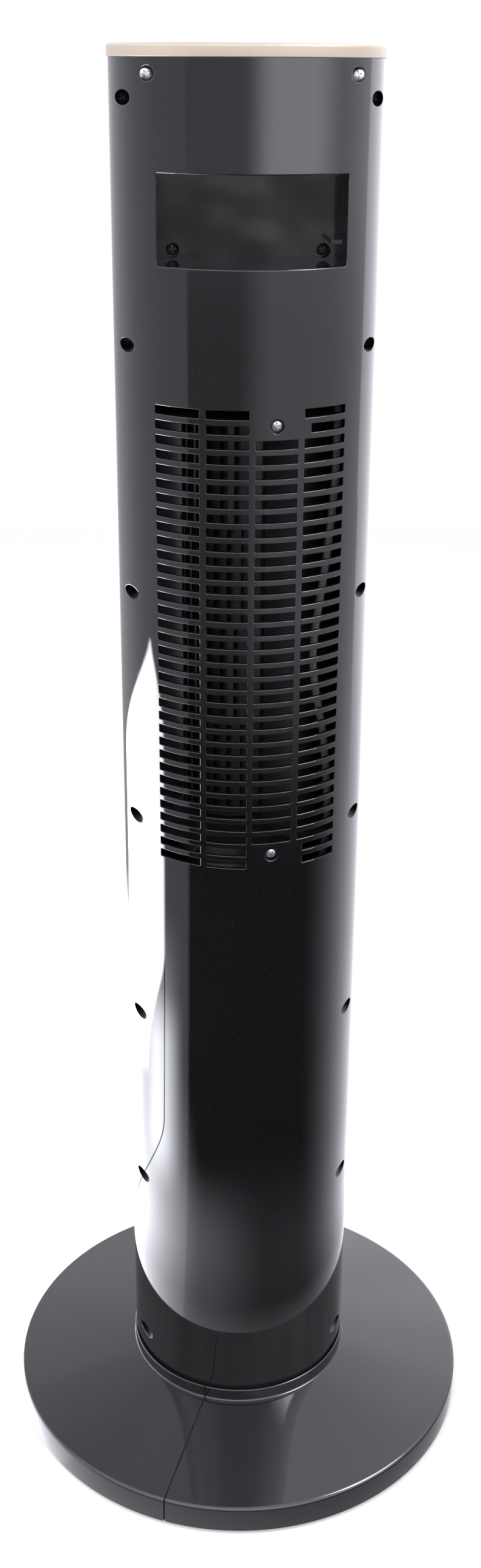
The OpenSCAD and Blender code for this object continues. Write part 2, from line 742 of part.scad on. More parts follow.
// Lining of the handle recess. Its rim lies behind the shell's wall, flush with the opening's edges
module handle_cup() {
    inner_w = handle_w / 2;
    outer_w = inner_w + cup_wall;
    color("#151518") difference() {
        union() {
            intersection() {
                difference() {
                    translate([-outer_w, handle_back - cup_wall, handle_z0 - cup_wall])
                        cube([2 * outer_w, column_r, handle_h + 2 * cup_wall]);
                    translate([-inner_w, handle_back, handle_z0])
                        cube([2 * inner_w, column_r, handle_h]);
                }
                translate([0, 0, handle_z0 - cup_wall - over])
                    cylinder(r = column_ri - fit_gap, h = handle_h + 2 * (cup_wall + over));
            }
            for (s = [-1, 1]) translate([s * cup_screw_x, cup_boss_y, cup_screw_z]) along_y()
                cylinder(r = cup_boss_r, h = handle_back - cup_boss_y - cup_wall + bury);
            for (i = [0 : grip_ribs - 1])
                translate([(i - (grip_ribs - 1) / 2) * grip_pitch - grip_rib_w / 2, handle_back - bury,
                    handle_z1 - grip_rib_h])
                    cube([grip_rib_w, grip_rib_l + bury, grip_rib_h + bury]);
            for (s = [-1, 1])
                translate([s > 0 ? inner_w - shelf_w : -inner_w - bury, handle_back - bury, handle_z0 + shelf_up])
                    cube([shelf_w + bury, shelf_depth + bury, shelf_t]);
        }
        for (s = [-1, 1]) {
            translate([s * cup_screw_x, cup_seat, cup_screw_z]) along_y()
                cylinder(r = well_r, h = handle_back - cup_seat + over);
            translate([s * cup_screw_x, cup_boss_y - over, cup_screw_z]) along_y()
                cylinder(r = clear_r, h = 10);
        }
    }
}

module cup_screws() {
    color("silver") for (s = [-1, 1])
        translate([s * cup_screw_x, cup_seat, cup_screw_z]) along_y() pan_screw(17);
}

// ---- Cap and controls ----

module top_cap() {
    rim_in = panel_r + fit_gap;
    skirt_ro = column_ri - fit_gap;
    lug_w = 12;
    lug_y1 = top_boss_y - fit_gap / 2;
    round_r = 2;
    rim = [for (i = [0 : 6]) [cap_r - round_r, cap_top - round_r] + polar(round_r, 15 * i)];
    color("#cfc4bb") difference() {
        union() {
            difference() {
                rotate_extrude()
                    polygon(concat(
                        [[cap_r, column_top]], rim,
                        [[rim_in, cap_top], [rim_in, panel_z], [rim_in - ledge_in, panel_z],
                            [rim_in - ledge_in, panel_z - cap_ledge_t],
                            [skirt_ro - skirt_t, panel_z - cap_ledge_t],
                            [skirt_ro - skirt_t, column_top - skirt_h], [skirt_ro, column_top - skirt_h],
                            [skirt_ro, column_top]]));
                for (s = [-1, 1]) translate([s * top_x - 8, top_boss_y - 0.5, column_top - skirt_h - over])
                    cube([16, column_r, skirt_h + over]);
            }
            intersection() {
                for (s = [-1, 1]) translate([s * top_x - lug_w / 2, lug_y1 - 12, top_z - 6])
                    cube([lug_w, 12, panel_z - cap_ledge_t - top_z + 6 + bury]);
                cylinder(r = skirt_ro, h = cap_top);
            }
        }
        for (s = [-1, 1]) translate([s * top_x, lug_y1 - 12 - over, top_z]) along_y()
            cylinder(r = pilot_r, h = 14);
    }
}

// Place of button i on its arc, counted from the +X end
function button_at(i) = polar(button_ring, -90 + (2 - i) * button_step);

module control_panel() {
    boss_h = panel_z - board_top;
    color("#101013") difference() {
        union() {
            translate([0, 0, panel_z]) cylinder(r = panel_r, h = panel_t);
            for (p = board_screw_at) translate([p[0], p[1], board_top]) cylinder(r = 3.4, h = boss_h + bury);
        }
        for (i = [0 : 4]) translate([button_at(i)[0], button_at(i)[1], panel_z - over])
            cylinder(r = button_r + 0.25, h = panel_t + 2 * over);
        for (p = board_screw_at) translate([p[0], p[1], board_top - over]) cylinder(r = 1.1, h = 7, $fn = 24);
    }
}

module control_board() {
    color("#2d6b3f") translate([0, 0, board_z]) difference() {
        intersection() {
            cylinder(r = board_r, h = board_t);
            translate([-board_r, -board_r, -over])
                cube([2 * board_r, board_r + board_back, board_t + 2 * over]);
        }
        for (p = board_screw_at) translate([p[0], p[1], -over])
            cylinder(r = 1.4, h = board_t + 2 * over, $fn = 24);
    }
}

module tact_switches() {
    color("#303030") for (i = [0 : 4]) translate([button_at(i)[0], button_at(i)[1], board_top]) {
        translate([-3, -3, 0]) cube([6, 6, switch_h]);
        cylinder(r = 1.7, h = switch_h + plunger_h, $fn = 32);
    }
}

module board_screws() {
    color("silver") for (p = board_screw_at) translate([p[0], p[1], board_z])
        rotate([180, 0, 0]) pan_screw(7, r = 2.4, h = 1.6, core = 1);
}

// One push button: cap, retaining flange and stem
module button(i) {
    color("#26262a") translate([button_at(i)[0], button_at(i)[1], 0]) union() {
        translate([0, 0, flange_z1 - bury])
            cylinder(r = button_r, h = cap_top + button_proud - flange_z1 + bury);
        translate([0, 0, flange_z1 - button_flange_t])
            cylinder(r = button_r + flange_lip, h = button_flange_t);
        translate([0, 0, stem_z]) cylinder(r = 2, h = flange_z1 - button_flange_t - stem_z + bury, $fn = 32);
    }
}

module display_window() {
    w = window_w - 2 * fit_gap;
    h = window_h - 2 * fit_gap;
    color("#0c0c10") union() {
        wall_piece(column_r - 0.2, column_ri - tuck, w, window_z - h / 2, window_z + h / 2);
        difference() {
            wall_piece(column_ri - fit_gap, column_ri - 2, w + 2 * tuck,
                window_z - h / 2 - tuck, window_z + h / 2 + tuck);
            translate([-w / 2 + bury, -column_r - over, window_z - h / 2 + bury])
                cube([w - 2 * bury, column_r, h - 2 * bury]);
        }
    }
}

module display_board() {
    w = 2 * display_boss_x + 10;
    color("#2d6b3f") translate([0, -display_y, window_z]) difference() {
        translate([-w / 2, 0, -window_h / 2]) cube([w, board_t, window_h]);
        for (s = [-1, 1]) translate([s * display_boss_x, -over, 0]) along_y()
            cylinder(r = 1.4, h = board_t + 2 * over, $fn = 24);
    }
}

module digit_display() {
    color("#3a1010") translate([-19, -display_y - 5.5, window_z - 8]) cube([38, 5.5, 16]);
}

module display_screws() {
    color("silver") for (s = [-1, 1]) translate([s * display_boss_x, -display_y + board_t, window_z])
        along_y() pan_screw(6, r = 2.4, h = 1.6, core = 1);
}

// ---- Fan ----

module duct_plate() {
    difference() {
        intersection() {
            circle(r = duct_r);
            square([2 * duct_half_w, 2 * duct_r], center = true);
        }
        translate(loom_hole) circle(r = loom_hole_r, $fn = 48);
    }
}

// Scroll wall, from its lip by the rear inlet round to the outlet
function scroll_path() = [for (i = [0 : 14])
    let (
        u = i / 14,
        r = (wheel_r + scroll_gap) * (1 - u) + scroll_end_r * u,
        last = atan2(outlet_y - wheel_y, -outlet_x - 1 - wheel_x) + 360)
    [wheel_x, wheel_y] + polar(r, scroll_from + (last - scroll_from) * u)];

// Wall from the scroll's lip back to the rear shell, beside the loom's channel
function lip_path() = let (
    a = scroll_path()[0],
    b = [duct_x - slot_w / 2 - slot_rib / 2, 0]) [a, [b[0], sqrt(pow(column_ri - 1.7, 2) - pow(b[0], 2))]];

// Tongue: a bent wall with its nose by the wheel
function tongue_path() = let (
    nose = [wheel_x, wheel_y] + polar(wheel_r + tongue_gap + 1, tongue_a),
    back_x = duct_half_w - 1.5)
    [[outlet_x - 1, outlet_y], nose, [back_x, sqrt(pow(column_ri - 1.7, 2) - pow(back_x, 2))]];

module air_duct() {
    block_y0 = duct_boss_y - 18;
    wall_h = duct_top_z - duct_bottom_z - duct_t + 2 * bury;
    color("#1d1d20") difference() {
        union() {
            translate([0, 0, duct_bottom_z]) linear_extrude(duct_t) duct_plate();
            translate([0, 0, duct_top_z]) linear_extrude(duct_t) duct_plate();
            translate([0, 0, duct_bottom_z + duct_t - bury]) linear_extrude(wall_h) {
                polygon(strip(scroll_path(), duct_wall));
                polygon(strip(tongue_path(), duct_wall));
            }
            translate([0, 0, duct_bottom_z + duct_t - bury]) linear_extrude(wall_h)
                polygon(strip(lip_path(), duct_wall));
            for (z = duct_screw_z) translate([duct_x - 5, block_y0, z - 5])
                cube([10, duct_boss_y - fit_gap / 2 - block_y0, 10]);
            at_wheel() {
                translate([0, 0, duct_top_z + duct_t - bury]) cylinder(r = bearing_r + 3, h = bearing_h);
                for (i = [0 : 3]) rotate(45 + 90 * i) translate([ear_ring, 0, duct_bottom_z - standoff_h])
                    cylinder(r = 4.5, h = standoff_h + bury);
            }
        }
        at_wheel() {
            translate([0, 0, duct_top_z - over]) cylinder(r = bearing_r, h = duct_t + bearing_h + 2 * over);
            translate([0, 0, duct_bottom_z - over]) cylinder(r = 11, h = duct_t + 2 * over);
            for (i = [0 : 3]) rotate(45 + 90 * i) translate([ear_ring, 0, duct_bottom_z - standoff_h - over])
                cylinder(r = pilot_r, h = 10);
        }
        for (z = duct_screw_z) {
            translate([duct_x, block_y0 - over, z]) along_y() cylinder(r = pilot_r, h = 20);
            translate([duct_x - duct_boss_r - 0.5, duct_boss_y - fit_gap / 2, z - duct_boss_r - 0.5])
                cube([2 * duct_boss_r + 1, 10, 2 * duct_boss_r + 1]);
        }
    }
}

module duct_screws() {
    color("silver") for (z = duct_screw_z)
        translate([duct_x, duct_seat, z]) along_y() pan_screw(18);
}

// One forward-curved blade of the wheel, seen from above
function blade_path() = [for (i = [0 : 4])
    let (u = i / 4) polar(wheel_r * (blade_inner + (0.985 - blade_inner) * u), blade_lean * u * u)];

module impeller() {
    hub_h = 12;
    color("#232326") at_wheel() difference() {
        union() {
            for (k = [0 : wheel_segments]) translate([0, 0, wheel_z0 + k * segment_h]) {
                if (k == 0 || k == wheel_segments) cylinder(r = wheel_r + disc_edge, h = disc_t);
                else tube(wheel_r + disc_edge, wheel_r * 0.62, disc_t);
            }
            for (k = [0 : wheel_segments - 1]) translate([0, 0, wheel_z0 + k * segment_h + disc_t / 2])
                linear_extrude(segment_h)
                    for (i = [0 : blade_count - 1]) rotate(360 * (i + (k % 2) / 2) / blade_count)
                        polygon(strip(blade_path(), blade_t));
            translate([0, 0, wheel_z0]) cylinder(r = 8, h = hub_h);
            translate([0, 0, wheel_z1 - hub_h]) cylinder(r = 8, h = hub_h);
        }
        translate([0, 0, wheel_z0 - over]) cylinder(r = motor_shaft_r, h = hub_h);
        translate([0, 0, wheel_z1 - hub_h + 2]) cylinder(r = wheel_pin_r, h = hub_h);
    }
}

module wheel_pin() {
    color("#d8d8d8") at_wheel() translate([0, 0, wheel_z1 - 10])
        cylinder(r = wheel_pin_r, h = 10 + end_gap + duct_t + bearing_h, $fn = 48);
}

module bearing_rubber() {
    color("#2a2a2a") at_wheel() translate([0, 0, duct_top_z])
        tube(bearing_r, sleeve_r, duct_t + bearing_h - bury);
}

module bearing_sleeve() {
    color("#b08d57") at_wheel() translate([0, 0, duct_top_z])
        tube(sleeve_r, wheel_pin_r + bearing_gap, duct_t + bearing_h - bury);
}

module motor_shaft() {
    color("#d8d8d8") at_wheel() translate([0, 0, motor_z0 - 4])
        cylinder(r = motor_shaft_r, h = wheel_z0 + 10 - motor_z0 + 4, $fn = 48);
}

module motor_rotor() {
    color("#a0a4a8") at_wheel() translate([0, 0, stack_z0]) tube(rotor_r, motor_shaft_r, stack_h);
}

module motor_stator() {
    color("#8a8d92") at_wheel() translate([0, 0, stack_z0]) tube(motor_r, stator_ri, stack_h);
}

module motor_windings() {
    color("#b5622f") at_wheel() for (z = [stack_z1, stack_z0 - 7])
        translate([0, 0, z]) tube(motor_r - bell_wall - 1.5, stator_ri + 1.5, 7);
}

module motor_top_bell() {
    color("#c4c6c8") at_wheel() difference() {
        union() {
            translate([0, 0, stack_z1]) cylinder(r = motor_r, h = bell_h);
            for (i = [0 : 3]) rotate(45 + 90 * i) translate([0, -6, motor_z1 - ear_t])
                cube([ear_ring + 6, 12, ear_t]);
        }
        translate([0, 0, stack_z1 - over]) cylinder(r = motor_r - bell_wall, h = bell_h - bell_wall + over);
        translate([0, 0, stack_z1]) cylinder(r = motor_shaft_r + bearing_gap, h = bell_h + over, $fn = 48);
        for (i = [0 : 3]) rotate(45 + 90 * i) translate([ear_ring, 0, motor_z1 - ear_t - over])
            cylinder(r = clear_r, h = ear_t + 2 * over, $fn = 32);
    }
}

module motor_bottom_bell() {
    color("#c4c6c8") at_wheel() difference() {
        translate([0, 0, motor_z0]) cylinder(r = motor_r, h = bell_low_h);
        translate([0, 0, motor_z0 + bell_wall]) cylinder(r = motor_r - bell_wall, h = bell_low_h);
        translate([0, 0, motor_z0 - over])
            cylinder(r = motor_shaft_r + bearing_gap, h = bell_low_h, $fn = 48);
    }
}

module motor_grommets() {
    color("#2a2a2a") at_wheel() for (i = [0 : 3]) rotate(45 + 90 * i)
        translate([ear_ring, 0, motor_z1]) tube(5.5, clear_r, grommet_h);
}

module motor_screws() {
    color("silver") at_wheel() for (i = [0 : 3]) rotate(45 + 90 * i)
        translate([ear_ring, 0, motor_z1 - ear_t]) rotate([180, 0, 0]) pan_screw(ear_t + grommet_h + 8);
}

module run_capacitor() {
    color("#d9d9d4") translate([-58, -28, duct_bottom_z - 24]) cube([14, 32, 24]);
}

module wiring_loom() {
    color("#2b2b2e") swept_tube(smooth_route(loom_route, loom_steps), loom_r, loom_sides);
}

base_left();
base_right();
base_feet();
base_screws();
neck();
slip_ring();
cord_clamp();
clamp_screws();
column_foot();
hub_retainer();
retainer_screws();
sweep_motor();
sweep_screws();
sweep_shaft();
crank_arm();
rear_shell();
front_shell();
shell_screws();
front_grille();
handle_cup();
cup_screws();
top_cap();
top_screws();
control_panel();
control_board();
tact_switches();
board_screws();
display_window();
display_board();
digit_display();
display_screws();
button(2);  // button_power
button(3);  // button_speed
button(1);  // button_mode
button(0);  // button_timer
button(4);  // button_swing
air_duct();
duct_screws();
impeller();
wheel_pin();
bearing_rubber();
bearing_sleeve();
motor_shaft();
motor_rotor();
motor_stator();
motor_windings();
motor_top_bell();
motor_bottom_bell();
motor_grommets();
motor_screws();
run_capacitor();
wiring_loom();
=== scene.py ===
# Looks for the tower fan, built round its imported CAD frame.
import json
import math

import bmesh
import bpy
import numpy as np
from mathutils import Matrix, Vector


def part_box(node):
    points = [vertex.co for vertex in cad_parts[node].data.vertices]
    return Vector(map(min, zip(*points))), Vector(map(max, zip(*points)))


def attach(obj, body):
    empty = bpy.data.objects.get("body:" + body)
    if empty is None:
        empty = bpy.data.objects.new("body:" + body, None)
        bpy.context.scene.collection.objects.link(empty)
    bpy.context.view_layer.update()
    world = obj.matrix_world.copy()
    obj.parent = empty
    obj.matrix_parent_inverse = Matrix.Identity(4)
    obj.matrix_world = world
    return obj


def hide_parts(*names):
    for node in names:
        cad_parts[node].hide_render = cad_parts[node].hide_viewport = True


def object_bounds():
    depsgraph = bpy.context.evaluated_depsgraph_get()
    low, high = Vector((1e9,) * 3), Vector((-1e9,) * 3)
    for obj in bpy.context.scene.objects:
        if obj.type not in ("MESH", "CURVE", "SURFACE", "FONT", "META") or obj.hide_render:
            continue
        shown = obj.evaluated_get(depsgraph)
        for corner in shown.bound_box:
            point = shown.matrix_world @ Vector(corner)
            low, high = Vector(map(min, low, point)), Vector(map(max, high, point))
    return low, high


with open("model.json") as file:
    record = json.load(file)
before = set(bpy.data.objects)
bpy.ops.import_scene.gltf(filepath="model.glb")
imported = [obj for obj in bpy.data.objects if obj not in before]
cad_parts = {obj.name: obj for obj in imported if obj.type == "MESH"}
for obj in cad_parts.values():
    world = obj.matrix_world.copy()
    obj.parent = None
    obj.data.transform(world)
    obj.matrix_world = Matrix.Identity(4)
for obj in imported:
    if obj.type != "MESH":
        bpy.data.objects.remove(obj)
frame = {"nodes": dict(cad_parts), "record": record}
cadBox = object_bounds()
nodes = frame["nodes"]
mm = 0.001
print("frame loaded:", len(nodes), "nodes")

# The column stands on the axis, so its shells and the base give their own radii
shellLow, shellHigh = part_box("rear_shell")
baseLow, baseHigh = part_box("base_left")
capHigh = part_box("top_cap")[1]
panelLow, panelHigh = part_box("control_panel")
column = {
    "radius": shellHigh.y,
    "wall": 2.5 * mm,
    "bottom": shellLow.z,
    "top": shellHigh.z,
    "seam": 0.15 * mm,       # from the middle plane to either shell
    "lip": 0.35 * mm,        # rounding of the shells' free edges
    "turns": 180,            # strips round half the column
    "rise": 30 * mm,         # height of one strip
}
base = {
    "radius": cadBox[1].x,
    "bottom": baseLow.z,
    "rimTop": baseLow.z + 19.5 * mm,
    "domeTop": baseHigh.z - 9.5 * mm,
    "top": baseHigh.z,
    "edge": 3 * mm,
    "wall": 2.8 * mm,
    "collar": column["radius"] + 1 * mm,
    "footFillet": 1.4 * mm,
    "ledge": (60 * mm, 9 * mm, 12 * mm),   # inner radius, underside and top
    "ribs": 12,
    "ribThick": 2 * mm,
    "feet": 8,
    "footRing": 146 * mm,
    "footRadius": 10 * mm,
    "neckRing": 68 * mm,
    "neckScrews": 6,
    "neckHole": (7 * mm, 14 * mm),
    "notch": 5 * mm,         # radius of the arch in the rim where a cord would leave
    "seam": 0.6 * mm,        # from the joint plane to either half
    "tongue": (1.2 * mm, 0.5 * mm, 0.05 * mm),   # depth below the skin, root and gap
    "parked": -21,           # degrees the base stands turned under the column
    "turns": 360,
}


# One output of a node; arithmetic on it adds Math nodes
class Wire:
    def __init__(self, board, socket):
        self.board = board
        self.socket = socket

    def math(self, operation, *values):
        return self.board.node("ShaderNodeMath", {"operation": operation}, dict(enumerate(values)))

    def __add__(self, other):
        return self.math("ADD", self, other)

    def __radd__(self, other):
        return self.math("ADD", other, self)

    def __sub__(self, other):
        return self.math("SUBTRACT", self, other)

    def __rsub__(self, other):
        return self.math("SUBTRACT", other, self)

    def __mul__(self, other):
        return self.math("MULTIPLY", self, other)

    def __rmul__(self, other):
        return self.math("MULTIPLY", other, self)

    def out(self, name):
        return Wire(self.board, self.socket.node.outputs[name])


# The node tree of one material or of the world
class Board:
    def __init__(self, owner):
        owner.use_nodes = True
        self.tree = owner.node_tree
        self.tree.nodes.clear()

    def node(self, kind, settings=None, inputs=None):
        made = self.tree.nodes.new(kind)
        for name, value in (settings or {}).items():
            setattr(made, name, value)
        for name, value in (inputs or {}).items():
            if isinstance(value, Wire):
                self.tree.links.new(value.socket, made.inputs[name])
            else:
                made.inputs[name].default_value = value
        return Wire(self, made.outputs[0] if made.outputs else None)

    # Smooth step of a value between two limits
    def step(self, value, low, high, start=0.0, end=1.0):
        limits = {"From Min": low, "From Max": high, "To Min": start, "To Max": end, "Value": value}
        return self.node("ShaderNodeMapRange", {"interpolation_type": "SMOOTHSTEP"}, limits)

    def blendColours(self, factor, first, second):
        settings = {"data_type": "RGBA"}
        mixed = self.node("ShaderNodeMix", settings, {"Factor": factor, 6: first, 7: second})
        return Wire(self, mixed.socket.node.outputs[2])

    def noise(self, place, scale, detail=2.0, rough=0.5):
        return self.node("ShaderNodeTexNoise", None,
                         {"Vector": place, "Scale": scale, "Detail": detail, "Roughness": rough})

    def stretched(self, place, stretch):
        return self.node("ShaderNodeMapping", None, {"Vector": place, "Scale": stretch})

    def bump(self, height, distance, strength=1.0):
        limits = {"Strength": strength, "Distance": distance, "Height": height}
        return self.node("ShaderNodeBump", None, limits)

    # Product of smooth steps of one value, times a strength
    def window(self, value, steps, strength=1):
        for limits in steps:
            strength = strength * self.step(value, *limits)
        return strength


materials = {}


# Opens a material with its object coordinates ready
def startMaterial(name):
    material = bpy.data.materials.new(name)
    board = Board(material)
    place = board.node("ShaderNodeTexCoord").out("Object")
    materials[name] = material
    return board, place


def finishMaterial(board, settings, links):
    shader = board.node("ShaderNodeBsdfPrincipled", None, {**settings, **links})
    board.node("ShaderNodeOutputMaterial", None, {"Surface": shader})


def tone(level, warmth=0.0):
    return (level * (1 + warmth), level, level * (1 - warmth), 1)


# High gloss moulded plastic: near black, faintly wavy, with dust specks and fine wiping marks
def makeGlossBlack(name, level=0.006, rough=0.03, wave=1.0, dust=1.0, waveScale=9, specular=0.55):
    look = {"specks": 2600, "speckShare": 0.8, "waveDepth": 0.00045 * wave,
            "wipeStretch": (160, 160, 7), "wipe": 0.035}
    board, place = startMaterial(name)
    ripple = board.noise(place, waveScale, 1.0)
    blotch = board.noise(place, 22, 3.0)
    wipes = board.noise(board.stretched(place, look["wipeStretch"]), 1.0, 4.0, 0.7)
    speckField = board.noise(place, look["specks"], 0.0)
    specks = board.step(speckField, look["speckShare"], look["speckShare"] + 0.06, 0.0, dust)
    dirt = board.blendColours(blotch, tone(level * 0.75, -0.1), tone(level * 1.3, -0.18))
    colour = board.blendColours(specks, dirt, tone(0.12, 0.05))
    finishMaterial(board, {"IOR": 1.5, "Specular IOR Level": specular}, {
        "Base Color": colour,
        "Roughness": rough + look["wipe"] * board.step(wipes, 0.5, 0.75) + 0.3 * specks,
        "Normal": board.bump(ripple, look["waveDepth"])})


# Fine satin moulded plastic with a spark-eroded grain
def makeSatin(name, colour, rough=0.42, grain=900, depth=0.00004):
    board, place = startMaterial(name)
    grainField = board.noise(place, grain, 3.0, 0.6)
    blotch = board.noise(place, 30, 3.0)
    darker = [0.82 * part for part in colour[:3]] + [1]
    finishMaterial(board, {"IOR": 1.48}, {
        "Base Color": board.blendColours(blotch, darker, [*colour[:3], 1]),
        "Roughness": rough - 0.06 + 0.14 * blotch,
        "Normal": board.bump(grainField, depth, 0.7)})


# Sprayed champagne finish with a fine metallic flake
def makeChampagne(name):
    board, place = startMaterial(name)
    flakes = board.noise(place, 5200, 1.0)
    cloud = board.noise(place, 26, 2.0)
    colour = board.blendColours(cloud, (0.49, 0.41, 0.345, 1), (0.57, 0.485, 0.415, 1))
    finishMaterial(board, {"IOR": 1.5, "Coat Roughness": 0.12}, {
        "Base Color": board.blendColours(board.step(flakes, 0.58, 0.7), colour, (0.69, 0.58, 0.48, 1)),
        "Metallic": 0.06 + 0.14 * board.step(flakes, 0.5, 0.7),
        "Roughness": 0.34 + 0.1 * cloud,
        "Normal": board.bump(flakes, 0.00002, 0.5)})


# Metal with fine turning or rolling lines
def makeMetal(name, colour, rough=0.28, lines=(30, 30, 900), stain=0.4):
    board, place = startMaterial(name)
    brush = board.noise(board.stretched(place, lines), 1.0, 3.0, 0.6)
    patches = board.noise(place, 120, 4.0)
    dull = [stain * part for part in colour] + [1]
    finishMaterial(board, {"IOR": 2.0}, {
        "Base Color": board.blendColours(board.step(patches, 0.42, 0.75), [*colour, 1], dull),
        "Metallic": 1.0 - 0.15 * patches,
        "Roughness": rough + 0.12 * brush,
        "Normal": board.bump(brush, 0.00002, 0.5)})


# Wound enamelled wire
def makeWinding(name):
    board, place = startMaterial(name)
    turns = board.node("ShaderNodeTexWave", {"wave_type": "RINGS", "rings_direction": "Z"},
                       {"Vector": place, "Scale": 420, "Distortion": 1.5})
    finishMaterial(board, {"IOR": 1.5}, {
        "Base Color": board.blendColours(turns, (0.2, 0.05, 0.015, 1), (0.62, 0.24, 0.08, 1)),
        "Metallic": 0.5 * turns,
        "Roughness": 0.32 + 0.1 * turns,
        "Normal": board.bump(turns, 0.0003)})


# Stacked laminations of motor steel
def makeLaminations(name):
    board, place = startMaterial(name)
    sheets = board.node("ShaderNodeTexWave", {"wave_type": "BANDS", "bands_direction": "Z"},
                        {"Vector": place, "Scale": 620, "Distortion": 0.2})
    finishMaterial(board, {"IOR": 2.0}, {
        "Base Color": board.blendColours(sheets, (0.1, 0.1, 0.11, 1), (0.36, 0.37, 0.4, 1)),
        "Metallic": 0.6 + 0.3 * sheets,
        "Roughness": 0.4 + 0.1 * sheets,
        "Normal": board.bump(sheets, 0.0002, 0.8)})


# Circuit board with solder mask, tracks and pads
def makeBoard(name):
    board, place = startMaterial(name)
    edges = {"feature": "DISTANCE_TO_EDGE"}
    cells = board.node("ShaderNodeTexVoronoi", edges, {"Vector": place, "Scale": 210})
    pads = board.node("ShaderNodeTexVoronoi", None, {"Vector": place, "Scale": 260})
    tracks = 1 - board.step(cells, 0.04, 0.07)
    dots = 1 - board.step(pads, 0.2, 0.26)
    green = board.blendColours(tracks, (0.012, 0.09, 0.03, 1), (0.03, 0.2, 0.07, 1))
    finishMaterial(board, {"IOR": 1.5}, {
        "Base Color": board.blendColours(dots, green, (0.55, 0.5, 0.4, 1)),
        "Metallic": 0.8 * dots,
        "Roughness": 0.32 - 0.08 * dots})


# Braided sleeve of the loom
def makeBraid(name):
    board, place = startMaterial(name)
    checks = board.node("ShaderNodeTexChecker", None,
                        {"Vector": board.stretched(place, (1, 1, 0.5)), "Scale": 1500})
    height = board.noise(place, 1400, 1.0)
    finishMaterial(board, {"IOR": 1.5}, {
        "Base Color": board.blendColours(checks, (0.1, 0.1, 0.105, 1), (0.26, 0.26, 0.27, 1)),
        "Roughness": 0.5 + 0.1 * height,
        "Normal": board.bump(height, 0.0002, 0.8)})


# Smoked acrylic in front of the digits
def makeSmoked(name):
    board, place = startMaterial(name)
    haze = board.noise(place, 60, 3.0)
    finishMaterial(board, {"IOR": 1.49, "Transmission Weight": 0.6}, {
        "Base Color": board.blendColours(haze, (0.012, 0.012, 0.015, 1), (0.02, 0.02, 0.024, 1)),
        "Roughness": 0.02 + 0.03 * haze})


def makeMaterials():
    makeGlossBlack("shellGloss", 0.006, 0.022)
    makeGlossBlack("baseGloss", 0.008, 0.05, 0.6, 0.7)
    makeGlossBlack("cupGloss", 0.005, 0.1, 3, 1.0, 24, 0.34)
    makeGlossBlack("panelGloss", 0.005, 0.015, 0.3, 0.3)
    makeGlossBlack("grilleGloss", 0.008, 0.09, 0.4, 0.4)
    makeChampagne("capChampagne")
    # painted shade: a near-black matt satin laid on the deep walls of the shell's screw wells and on
    # the walls of the base's joint, standing in for the shade that falls there
    makeSatin("paintedShadeBlack", (0.0025, 0.0025, 0.003), 0.6)
    makeSatin("innerBlack", (0.01, 0.01, 0.011), 0.55)
    makeSatin("iconPrint", (0.55, 0.55, 0.56), 0.5)
    makeSatin("wheelBlack", (0.018, 0.018, 0.02), 0.3)
    makeSatin("buttonSatin", (0.05, 0.05, 0.055), 0.36)
    makeSatin("switchBlack", (0.03, 0.03, 0.03), 0.4)
    makeSatin("acetalIvory", (0.62, 0.6, 0.52), 0.34)
    makeSatin("capacitorWhite", (0.62, 0.62, 0.58), 0.4)
    makeSatin("digitRed", (0.1, 0.008, 0.006), 0.25)
    makeSatin("softRubber", (0.02, 0.02, 0.02), 0.75, 500, 0.0001)
    makeMetal("screwZinc", (0.68, 0.68, 0.7), 0.22, (400, 400, 400), 0.5)
    # painted shade: a dark, dull copy of the zinc for screws sunk in wells and in the handle cup,
    # standing in for the shade that falls on them
    makeMetal("paintedShadeZinc", (0.1, 0.1, 0.105), 0.5, (400, 400, 400), 0.4)
    makeMetal("shaftSteel", (0.6, 0.6, 0.62), 0.2)
    makeMetal("canZinc", (0.5, 0.51, 0.53), 0.34, (60, 60, 60), 0.7)
    makeMetal("sleeveBronze", (0.55, 0.38, 0.18), 0.35)
    makeWinding("windingCopper")
    makeLaminations("coreSteel")
    makeBoard("boardGreen")
    makeBraid("loomBraid")
    makeSmoked("windowSmoke")
    print("materials:", len(materials))


# The record's finish of each node, and the material that shows it
finishes = {
    "shell_black": "shellGloss", "base_black": "baseGloss", "cap_champagne": "capChampagne",
    "panel_black": "panelGloss", "grille_black": "grilleGloss", "button_grey": "buttonSatin",
    "window_smoke": "windowSmoke", "inner_black": "innerBlack", "wheel_black": "wheelBlack",
    "crank_ivory": "acetalIvory", "screw_steel": "screwZinc", "shaft_steel": "shaftSteel",
    "can_steel": "canZinc", "core_steel": "coreSteel", "winding_copper": "windingCopper",
    "sleeve_bronze": "sleeveBronze", "soft_rubber": "softRubber", "board_green": "boardGreen",
    "switch_black": "switchBlack", "digit_red": "digitRed", "capacitor_white": "capacitorWhite",
    "loom_sheath": "loomBraid",
}


def dressNodes():
    for part in frame["record"]["subparts"]:
        node = nodes[part["node"]]
        finish = finishes[part["material_slot"]]
        if part["node"] == "handle_cup":
            finish = "cupGloss"
        for socket in node.material_slots:
            socket.material = materials[finish]


# A closed form is its points and faces; outlines are loops of two numbers

# Rounds the corners of a loop; each corner is (x, y, radius)
def filleted(corners, steps=5):
    loop = []
    for index, (x, y, radius) in enumerate(corners):
        here = Vector((x, y))
        if radius == 0:
            loop.append(here)
            continue
        before = (Vector(corners[index - 1][:2]) - here).normalized()
        after = (Vector(corners[(index + 1) % len(corners)][:2]) - here).normalized()
        half = before.angle(after) / 2
        centre = here + (before + after).normalized() * radius / math.sin(half)
        arm = here + before * radius / math.tan(half) - centre
        sweep = math.copysign(math.pi - 2 * half, -before.cross(after))
        for step in range(steps + 1):
            turn = sweep * step / steps
            loop.append(centre + Vector((arm.x * math.cos(turn) - arm.y * math.sin(turn),
                                         arm.x * math.sin(turn) + arm.y * math.cos(turn))))
    return loop


